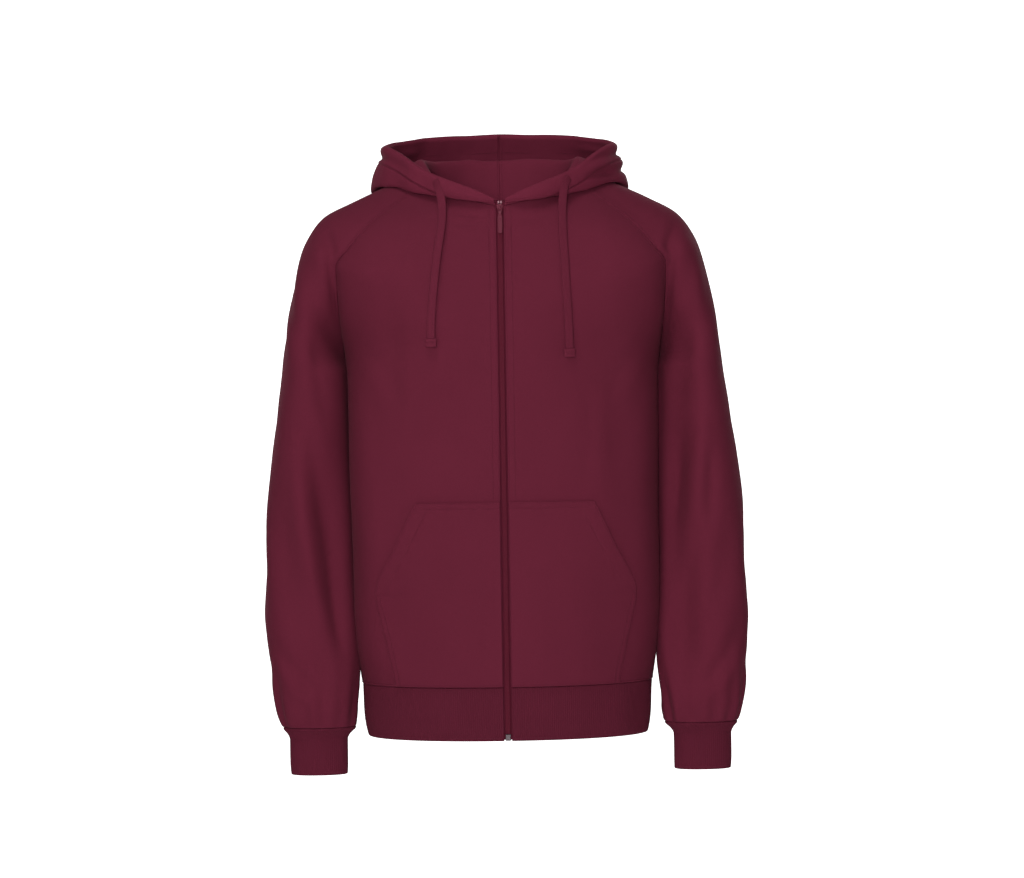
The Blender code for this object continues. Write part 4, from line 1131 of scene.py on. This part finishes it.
# Rings at these heights: the hem from the zip round to the zip, or a closed cuff
def ringGrid(rows, levels, share, closed):
    if closed:
        middle = (column(rows, "innerX", levels, "z") + column(rows, "outerX", levels, "z")) / 2
        half = (column(rows, "outerX", levels, "z") - column(rows, "innerX", levels, "z")) / 2
        turn = 2 * np.pi * share[None, :]
        across, along = squareUp(np.sin(turn), 0.88), squareUp(np.cos(turn), 0.88)
        return points(middle[:, None] + half[:, None] * across,
                      column(rows, "middleY", levels, "z")[:, None]
                      - column(rows, "halfDepth", levels, "z")[:, None] * along, levels[:, None])
    side = points(column(rows, "halfWidth", levels, "z"), -0.004, levels)
    front = points(cut["zipEdge"], column(rows, "frontY", levels, "z"), levels)
    back = points(0, column(rows, "backY", levels, "z"), levels)
    ahead = bezier(front, front + (side - front) * (0.60, 0, 0),
                   side - (side - front) * (0, 0.58, 0), side, share)
    behind = bezier(side, side + (back - side) * (0, 0.58, 0),
                    back + (side - back) * (0.60, 0, 0), back, share)
    half = np.concatenate([ahead, behind[:, 1:]], axis=1)
    return np.concatenate([half, half[:, -2::-1] * (-1, 1, 1)], axis=1)


# Resamples every row of a ring at even lengths of its middle row
def evenRing(grid, count, closed):
    if closed:
        grid = np.concatenate([grid, grid[:, :1]], axis=1)
    run = lengthAlong(grid, 1)[len(grid) // 2]
    at = np.interp(np.linspace(0, run[-1], count + 1)[:count + (not closed)], run, np.arange(len(run)))
    i = np.clip(at.astype(int), 0, len(run) - 2)
    t = (at - i)[None, :, None]
    return grid[:, i] * (1 - t) + grid[:, i + 1] * t, run[-1]


# A rib band: its rings moved out by a rounded wave with narrow valleys, one for each rib, and by a slow
# uneven swell that fades to both edges
def makeRib(name, rows, node, closed, mirrored, seed, lean=0.0):
    height = rows["z"][0] - rows["z"][-1]
    levels = rows["z"][-1] + stations(height, ribSettings["cuffStep" if closed else "hemStep"]) * height
    share = np.linspace(0, 1, 400, endpoint=not closed)
    base = ringGrid(rows, levels, share, closed)
    length = lengthAlong(base, 1)[0, -1]
    ribs = int(round(length / ribSettings["pitch"]))
    grid, length = evenRing(base, ribs * ribSettings["columns"], closed)
    out = gridNormals(grid, closed)
    turn = np.arange(grid.shape[1]) / ribSettings["columns"] * 2 * np.pi
    wave = (0.5 - 0.5 * np.cos(turn)) ** 0.6 - 0.7
    along = np.arange(grid.shape[1]) / grid.shape[1]
    rise = (levels - levels[0])[:, None]
    random = np.random.default_rng(seed)
    sway = sum(random.uniform(0.4, 1) * np.sin(2 * np.pi * (cycles * along[None, :] + random.uniform(0, 1)))
               for cycles in ((6, 9, 13, 17) if not closed else (2, 3, 5)))
    bulk = ribSettings["sway"] * sway * np.sin(np.pi * np.clip(rise / height, 0, 1)) ** 0.7
    grid = grid + out * (wave[None, :] * ribSettings["depth"] + bulk)[..., None] - (lean, 0, 0)
    piece = clothWall(name, grid, out, ribSettings["thickness"], cloth["rib"], closed=closed,
                      mirrored=mirrored, soft="bt" if closed else "lrbt")
    joinGarment(piece, node)


makeRib("hemRib", hem, "hem_rib", False, False, 41)
makeRib("cuffLeft", cuff, "cuff_left", True, False, 42)
makeRib("cuffRight", cuff, "cuff_right", True, True, 43,
        lean=sleeveSettings["leanRight"])
print("ribs ready", meshCount["faces"])


# Hood
hoodSettings = {"thickness": 0.0030, "step": 0.0034, "sectionLength": 0.30, "arcLength": 0.42,
                "casing": 0.024, "casingThicker": 0.0010, "roll": 0.0022, "drape": 0.0012,
                "pucker": 0.0003, "casingPucker": 0.00035}
hoodFolds = {"Left": table("""
x0      z0      x1      z1      x2      z2      width   rise
0.146   -0.012  0.128   -0.013  0.104   -0.023  0.0050  -0.0040
0.140   0.016   0.124   0.006   0.104   -0.004  0.0050  -0.0026
0.146   0.002   0.128   -0.003  0.104   -0.013  0.0065   0.0024
"""), "Right": table("""
x0      z0      x1      z1      x2      z2      width   rise
-0.138  0.010   -0.128  0.000   -0.112  -0.006  0.0070  -0.0016
-0.090  -0.016  -0.072  -0.026  -0.050  -0.040  0.0060   0.0014
""")}
# Rolls round the hood under its rim: how far below it, how broad and high, and between which directions
hoodRolls = {"Right": table("""
below   width   rise     first  last
0.0050  0.0060  0.0014   70     150
0.0160  0.0042  -0.0036  72     142
0.0400  0.0100  0.0012   80     130
"""), "Left": table("""
below   width   rise     first  last
0.0050  0.0060  0.0014   70     150
0.0150  0.0040  -0.0032  72     142
0.0260  0.0060  0.0026   78     132
0.0370  0.0045  -0.0042  78     128
""")}
startAngle = math.degrees(math.asin(cut["hoodEdge"] / neck["radius"][0]))
hoodAngles = startAngle + (180 - startAngle) * stations(hoodSettings["arcLength"], hoodSettings["step"])
hoodShare = stations(hoodSettings["sectionLength"], hoodSettings["step"], far=(hoodSettings["casing"],))
hoodBase = hoodGrid(hoodAngles, hoodShare)


# How far each point of a hood half stands over its plain form: folds on the outside, drape, rolls under the
# rim, puckers and sunk stitches
def hoodHeight(out, across, rise, side, hand):
    casing = hoodSettings["casing"]
    rim, backSeam = rise[-1:] - rise, across[:, -1:] - across
    x, z = hoodBase[..., 0] * hand, hoodBase[..., 2]
    outside = stepUp((hoodShare - 0.55) / 0.1)[:, None]
    size = stepUp(rise / 0.03) * stepUp(backSeam / 0.03) * stepUp(across / 0.02)
    size = size * (0.4 + 0.6 * stepUp(rim / 0.03))
    height = foldHeight(x, z, hoodFolds[side]) * outside * stepUp(-out[..., 1] / 0.3 + 0.8)
    height += drapeHeight(across + 0.3 * hand, rise, 51 + hand, hoodSettings["drape"]) * size
    for below, width, tall, first, last in zip(*hoodRolls[side].values()):
        wide = stepUp((hoodAngles - first) / 20) * stepUp((last - hoodAngles) / 16)
        height += tall * bell(rim - below, width) * wide[None, :]
    height += puckerHeight(rise, backSeam, 2.2, hoodSettings["pucker"])
    height += sinkHeight(rim, (casing,), 0.0005, 0.0009)
    height += sinkHeight(rise, (stitchRows["seam"],)) + sinkHeight(backSeam, (stitchRows["seam"],))
    height += puckerHeight(across, np.abs(rim - casing), 1.4 + hand, hoodSettings["casingPucker"],
                           reach=0.007, length=0.011)
    return height


# One hood half, thicker in its casing, pinched at the casing's stitches and rolled full at its rim, with
# stitches on both faces
def makeHoodHalf(side, hand):
    casing = hoodSettings["casing"]
    whole = np.concatenate([hoodBase, hoodBase[:, -2::-1] * (-1, 1, 1)], axis=1)
    out = gridNormals(whole)[:, :len(hoodAngles)]
    across, rise = lengthAlong(hoodBase, 1), lengthAlong(hoodBase, 0)
    rim = rise[-1:] - rise
    height = hoodHeight(out, across, rise, side, hand)
    grid = openSeams(hoodBase + out * height[..., None], cut["seamGap"], "r")
    pinch = 0.5 * bell(rim - casing, 0.0016)
    extra = hoodSettings["casingThicker"] * (stepUp((casing - rim) / 0.003) - pinch)
    full = bell(rim - 0.004, 0.009) * stepUp((hoodAngles - 20) / 40)[None, :]
    extra = (extra + hoodSettings["roll"] * full) * stepUp(across / 0.03)
    # The hood wears the lighter fleece, painted light for its shaded hollow
    piece = clothWall("hood" + side, grid, out, hoodSettings["thickness"], cloth["hoodCloth"],
                      mirrored=hand < 0, extra=extra)
    inside = grid - out * hoodSettings["thickness"]
    seams = sewLines("hoodStitches" + side, [
        alongEdge(grid, out, "t", casing), alongEdge(inside, -out, "t", casing),
        alongEdge(grid, out, "r", stitchRows["seam"]), alongEdge(inside, -out, "r", stitchRows["seam"]),
        alongEdge(grid, out, "b", stitchRows["seam"]), alongEdge(inside, -out, "b", stitchRows["seam"]),
    ], trim["thread"], mirrored=hand < 0)
    joinGarment(piece, "hood_" + side.lower(), sewn=(seams,))


makeHoodHalf("Left", 1)
makeHoodHalf("Right", -1)
print("hood ready", meshCount["faces"])


# Kangaroo pocket, one half on each front
pocketSettings = {"thickness": 0.0020, "laid": 0.0008, "lift": 0.0034, "handFoot": -0.536, "columns": 46,
                  "width": 0.13, "clear": 0.0008, "sag": 0.0012, "handHem": 0.0007, "topHem": 0.0006}
pocketRows = {"edge": 0.0018, "edgeFar": 0.0082, "hand": 0.0022, "handFar": 0.0200, "foot": 0.0024}


# The front's own points moved out, as far as the pocket's edge, with the hand edge standing off by a lift
# that grows towards it and fades at both ends of the opening
def makePocket(side, hand):
    low, high = pocketEdge["z"][0], pocketEdge["z"][-1]
    foot = pocketSettings["handFoot"]
    heights = low + stations(high - low, 0.0032, far=(pocketRows["edgeFar"],)) * (high - low)
    levels = (heights - shoulder["midFrontZ"][0]) / abs(cut["hemSeam"] - shoulder["midFrontZ"][0])
    panel = bodyHalf(levels, np.linspace(0, 1, 241), "front")
    out = gridNormals(panel)
    edge = column(pocketEdge, "x", heights, "z")
    start = cut["zipEdge"] + pocketSettings["clear"]
    width = pocketSettings["width"]
    share = stations(width, width / pocketSettings["columns"],
                     far=(pocketRows["edgeFar"], pocketRows["handFar"]))
    x = start + share[None, :] * (edge - start)[:, None]

    # A quantity of the panel, read row by row at the pocket's own distances from the zip
    def along(values):
        return np.stack([np.interp(x[r], panel[r, :, 0], values[r]) for r in range(len(heights))])
    base = np.stack([along(panel[:, :, i]) for i in range(3)], axis=-1)
    away = unit(np.stack([along(out[:, :, i]) for i in range(3)], axis=-1))
    gape = np.sin(np.pi * np.clip((heights - foot) / (high - foot), 0, 1)) ** 0.5
    lift = pocketSettings["lift"] * stepUp((share[None, :] - 0.45) / 0.55) * gape[:, None]
    sag = pocketSettings["sag"] * np.sin(np.pi * share[None, :])
    sag = sag * np.sin(np.pi * (heights - low) / (high - low))[:, None]
    seamAway = np.minimum(base[..., 2] - cut["hemSeam"], base[..., 0] - cut["zipEdge"] + 0.008)
    hang = frontHeight(base[..., 0] * hand, base[..., 2], seamAway)
    run, rise = lengthAlong(base, 1), lengthAlong(base, 0)
    edgeAway, topAway = run[:, -1:] - run, rise[-1:] - rise
    ripple = (puckerHeight(rise, edgeAway, 0.9 + hand, 0.0004, reach=0.010, length=0.012)
              + puckerHeight(run, topAway, 1.9 + hand, 0.00035, reach=0.010, length=0.012))
    edgeRows = (pocketRows["edge"], pocketRows["edgeFar"])
    handRows = (pocketRows["hand"], pocketRows["handFar"])
    sunk = sinkHeight(topAway, edgeRows, 0.0006, 0.0008)
    sunk = sunk + np.where((heights < foot)[:, None], sinkHeight(edgeAway, edgeRows),
                           sinkHeight(edgeAway, handRows))
    offset = pocketSettings["laid"] + lift + sag + hang + ripple + sunk + pocketSettings["thickness"]
    grid = base + away * offset[..., None]
    out = gridNormals(grid)
    handHem = pocketSettings["handHem"] * stepUp((0.020 - edgeAway) / 0.002) * stepUp(gape * 3)[:, None]
    topHem = pocketSettings["topHem"] * stepUp((0.012 - topAway) / 0.002)
    piece = clothWall("pocket" + side, grid, out, pocketSettings["thickness"], cloth["fleece"],
                      mirrored=hand < 0, extra=np.maximum(handHem, topHem) * 0.5)
    i = np.searchsorted(heights, foot)
    seams = sewLines("pocketStitches" + side, [
        alongEdge(grid, out, "t", pocketRows["edge"]), alongEdge(grid, out, "t", pocketRows["edgeFar"]),
        alongEdge(grid[i:], out[i:], "r", pocketRows["hand"]),
        alongEdge(grid[i:], out[i:], "r", pocketRows["handFar"]),
        alongEdge(grid[:i + 1], out[:i + 1], "r", pocketRows["edge"]),
        alongEdge(grid[:i + 1], out[:i + 1], "r", pocketRows["edgeFar"]),
        alongEdge(grid, out, "b", pocketRows["foot"]),
    ], trim["thread"], mirrored=hand < 0)
    joinGarment(piece, "pocket_" + side.lower(), sewn=(seams,))


makePocket("Left", 1)
makePocket("Right", -1)
print("pocket ready", meshCount["faces"])


# Zip: coil, slider and pull tab
zipSettings = {"foot": -0.7078, "top": -0.0662, "pitch": 0.00135, "toothLength": 0.0034, "tooth": 0.00058,
               "behind": 0.0013, "rowOut": 0.0011, "cordOut": 0.0022, "cordThick": 0.0007,
               "cordBehind": 0.0019, "webBehind": 0.0024, "webHalf": 0.0024, "webThick": 0.0003}
sliderSettings = {"middle": -0.0590, "pullLength": 0.0330, "hingeProud": 0.0025, "half": 0.0059,
                  "narrow": 0.0030, "widerAtTop": 0.0011, "plateIn": 0.0020, "plateThick": 0.0009,
                  "rearIn": 0.0052, "rearThick": 0.0008, "postIn": 0.0036, "archHalf": 0.0024,
                  "tabTop": -0.0058, "tabFoot": -0.0324, "tabNarrow": 0.0017, "tabWider": 0.0014,
                  "tabThick": 0.00042}


# Teeth of the coil: barrels set across the chain in two rows, each row half a pitch on from the other, with
# a cord in each row and a thin woven web behind them
def makeCoil():
    z = np.arange(zipSettings["foot"], zipSettings["top"], zipSettings["pitch"] / 2)
    hand = np.where(np.arange(len(z)) % 2 == 0, 1.0, -1.0)
    y = frontMiddle(z)
    rise = unit(points(0, np.gradient(y, z), 1))
    out = unit(np.cross(points(np.ones(len(z)), 0, 0), rise))
    place = points(hand * zipSettings["rowOut"], y, z) - out * zipSettings["behind"]
    across = unit(points(hand, 0, 0) + rise * 0.10)
    shape, faces = barrel(zipSettings["toothLength"], zipSettings["tooth"], 1.15)
    side = unit(np.cross(out, across))
    teeth = scatterShape("zipCoil", shape, faces, place, across, side, out, trim["zipCoil"])
    z = np.linspace(zipSettings["foot"], zipSettings["top"], 120)
    line = points(0, frontMiddle(z), z)
    rise = unit(np.gradient(line, axis=0))
    out = unit(np.cross(points(np.ones(len(z)), 0, 0), rise))
    thick, web = zipSettings["cordThick"], zipSettings["webThick"]
    cordLine, webLine = line - out * zipSettings["cordBehind"], line - out * zipSettings["webBehind"]
    cordHalf = np.tile([thick, 0, 0], (len(z), 1))
    webHalf = np.tile([zipSettings["webHalf"], 0, 0], (len(z), 1))
    core = [loft(cordLine + (zipSettings["cordOut"] * hand, 0, 0), cordHalf, out * thick, 1.0, 8)
            for hand in (-1, 1)]
    core.append(loft(webLine, webHalf, out * web, 0.5, 8))
    cords = joinLofts("zipCoilCore", core, trim["zipCoil"])
    turnOut(teeth)
    joinGarment(teeth, "zip_chain", sewn=(cords,))


# Slider and tab, worked out upright at the hinge and leaned back with the front. The two plates of the
# slider widen upwards, and a post and an arch join them; the tab is a rounded blade with an eye and a frame
def makeSlider():
    facts = sliderSettings
    here, below = frontMiddle([facts["middle"], facts["middle"] - facts["pullLength"]])
    lean = math.atan2(here - below, facts["pullLength"])
    hinge = np.array([0, here - facts["hingeProud"], facts["middle"]])
    turn = np.array([[1, 0, 0], [0, math.cos(lean), math.sin(lean)], [0, -math.sin(lean), math.cos(lean)]])

    # A loft leaned back with the front and moved to the hinge
    def placed(part):
        return part[0] @ turn.T + hinge, part[1]
    z = np.linspace(-facts["half"], facts["half"], 17)
    share = (z - z[0]) / (z[-1] - z[0])
    edge = np.sqrt(np.clip(1 - np.abs(2 * share - 1) ** 6, 0.05, 1))
    wide = facts["narrow"] + facts["widerAtTop"] * stepUp((share - 0.25) / 0.5)

    # A plate of the slider at a distance behind the hinge, thinned towards its ends
    def plate(inward, thick):
        across, inwards = points(wide * edge, 0, 0), points(0, thick * edge, 0)
        return placed(loft(points(0, inward, z), across, inwards, 0.55, 20))
    postHeights = np.linspace(0.0010, 0.0056, 5)
    post = placed(loft(points(0, facts["postIn"], postHeights), np.tile([0.0012, 0, 0], (5, 1)),
                       np.tile([0, 0.0018, 0], (5, 1)), 0.8, 10))
    turnArch = np.linspace(0, math.pi, 13)
    archLine = points(0, 0.0013 - 0.0028 * np.sin(turnArch) ** 0.8, facts["archHalf"] * np.cos(turnArch))
    inward = unit(np.cross(np.gradient(archLine, axis=0), points(np.ones(13), 0, 0)))
    arch = placed(loft(archLine, np.tile([0.0009, 0, 0], (13, 1)), inward * 0.0004, 0.7, 12))
    plates = [plate(facts["plateIn"], facts["plateThick"]), plate(facts["rearIn"], facts["rearThick"])]
    slider = joinLofts("zipSlider", [*plates, post, arch], trim["zipEnamel"])

    around = np.linspace(0, 2 * np.pi, 40, endpoint=False)

    # A flat ring: its line is a long rounded loop between two heights
    def ring(top, foot, halfWidth, radius, deep):
        z = (top + foot) / 2 + (top - foot) / 2 * squareUp(np.cos(around), 0.55)
        line = points(halfWidth * squareUp(np.sin(around), 0.55), 0, z)
        way = unit(np.roll(line, -1, axis=0) - np.roll(line, 1, axis=0))
        across, inwards = np.cross(way, (0, 1, 0)) * radius, np.tile([0, deep, 0], (40, 1))
        return placed(loft(line, across, inwards, 0.8, 12, ring=True))
    z = np.linspace(facts["tabTop"], facts["tabFoot"], 31)
    share = (z - z[0]) / (z[-1] - z[0])
    tip = np.sqrt(np.clip(1 - np.clip((share - 0.90) / 0.115, 0, 1) ** 2, 0.02, 1))
    wide = (facts["tabNarrow"] + facts["tabWider"] * stepUp(share / 0.30)) * tip
    tab = placed(loft(points(0, 0.0001, z), points(wide, 0, 0), np.tile([0, facts["tabThick"], 0], (31, 1)),
                      0.5, 20))
    eye = ring(0.0, -0.0062, 0.0019, 0.0006, 0.00055)
    frameRing = ring(-0.0120, -0.0318, 0.0025, 0.0005, 0.00072)
    pull = joinLofts("zipPull", [eye, tab, frameRing], trim["zipEnamel"])
    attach(slider, "garment")
    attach(pull, "pull")
    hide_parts("zip_slider")
    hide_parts("zip_pull")


makeCoil()
makeSlider()
for name, finish in (("zip_tape_left", "zipTape"), ("zip_tape_right", "zipTape"), ("zip_box", "zipSteel"),
                     ("zip_stop_left", "zipStop"), ("zip_stop_right", "zipStop")):
    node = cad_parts[name]
    node.data.materials.clear()
    node.data.materials.append(trim[finish])
print("zip ready", meshCount["faces"])


# Floor and light
stageSettings = {"floor": -1.30, "near": -9.0, "wall": 7.5, "width": 24.0, "bright": 0.90, "glow": 0.80,
                 "dimGlow": 0.10, "floorGlow": 0.40, "glowFrom": 1.8, "height": 7.0, "world": 0.13,
                 "worldSeen": 0.75}
lights = {
    "key": {"place": (-2.2, -3.4, 1.9), "aim": (0, 0, -0.3), "size": 1.8, "power": 20},
    "fill": {"place": (2.8, -3.6, 0.4), "aim": (0, 0, -0.35), "size": 2.6, "power": 3},
    "front": {"place": (-0.25, -4.6, -0.10), "aim": (0, 0, -0.2), "size": 0.9, "power": 114},
    "top": {"place": (-0.5, -1.2, 2.8), "aim": (0, 0, -0.2), "size": 1.6, "power": 38},
    "behind": {"place": (1.6, 3.4, 1.2), "aim": (0, 0, -0.3), "size": 1.8, "power": 55},
    "rear": {"place": (-1.9, 3.6, 0.1), "aim": (0, 0, -0.35), "size": 1.4, "power": 22},
}


# A floor that curves up into a wall: one profile carried sideways
def makeStage():
    turn = np.linspace(0, math.pi / 2, 16)
    near, wall = stageSettings["near"], stageSettings["wall"]
    y = np.concatenate([[near], wall - 1 + np.sin(turn), [wall]])
    z = stageSettings["floor"] + np.concatenate([[0], 1 - np.cos(turn), [stageSettings["height"]]])
    x = np.array([-1, 1]) * stageSettings["width"] / 2
    grid = points(x[None, :], y[:, None], z[:, None])
    r = np.arange(len(y) - 1)
    faces = np.stack([r * 2, r * 2 + 1, r * 2 + 3, r * 2 + 2], axis=-1)
    made = bpy.data.materials.new("paper")
    made.use_nodes = True
    shader = made.node_tree.nodes["Principled BSDF"]
    shader.inputs["Base Color"].default_value = (stageSettings["bright"],) * 3 + (1,)
    shader.inputs["Roughness"].default_value = 0.9
    shader.inputs["Emission Color"].default_value = (1, 1, 1, 1)
    # The paper glows where it lies well behind the garment, and less all over as the camera sees it
    tree = made.node_tree
    place, split = addNode(tree, "TexCoord"), addNode(tree, "SeparateXYZ")
    tree.links.new(place.outputs["Object"], split.inputs[0])
    behind = math2(tree, "SUBTRACT", split.outputs[1], stageSettings["glowFrom"], clamp=True)
    cameraRay = addNode(tree, "LightPath").outputs["Is Camera Ray"]
    seen = math2(tree, "ADD", math2(tree, "MULTIPLY", cameraRay, stageSettings["glow"]),
                 stageSettings["dimGlow"])
    glow = math2(tree, "ADD", math2(tree, "MULTIPLY", behind, seen),
                 math2(tree, "MULTIPLY", cameraRay, stageSettings["floorGlow"]))
    tree.links.new(glow, shader.inputs["Emission Strength"])
    paper = makeObject("paper", grid.reshape(-1, 3), faces, made)


# A round lamp at a place, tilted and turned so that it shines at its aim
def makeLight(name, place, aim, size, power):
    data = bpy.data.lights.new(name, "AREA")
    data.shape = "DISK"
    data.size = size
    data.energy = power
    made = bpy.data.objects.new(name, data)
    made.location = place
    way = np.array(aim, float) - np.array(place, float)
    made.rotation_euler = (math.atan2(math.hypot(way[0], way[1]), -way[2]), 0, math.atan2(-way[0], way[1]))
    scene.collection.objects.link(made)


makeStage()
for name, facts in lights.items():
    makeLight(name, **facts)
world = bpy.data.worlds.new("studio")
world.use_nodes = True
tree = world.node_tree
tree.nodes["Background"].inputs["Color"].default_value = (1, 1, 1, 1)
cameraRay = addNode(tree, "LightPath").outputs["Is Camera Ray"]
strength = math2(tree, "ADD", math2(tree, "MULTIPLY", cameraRay, stageSettings["worldSeen"]),
                 stageSettings["world"])
tree.links.new(strength, tree.nodes["Background"].inputs["Strength"])
scene.world = world
print("stage ready")
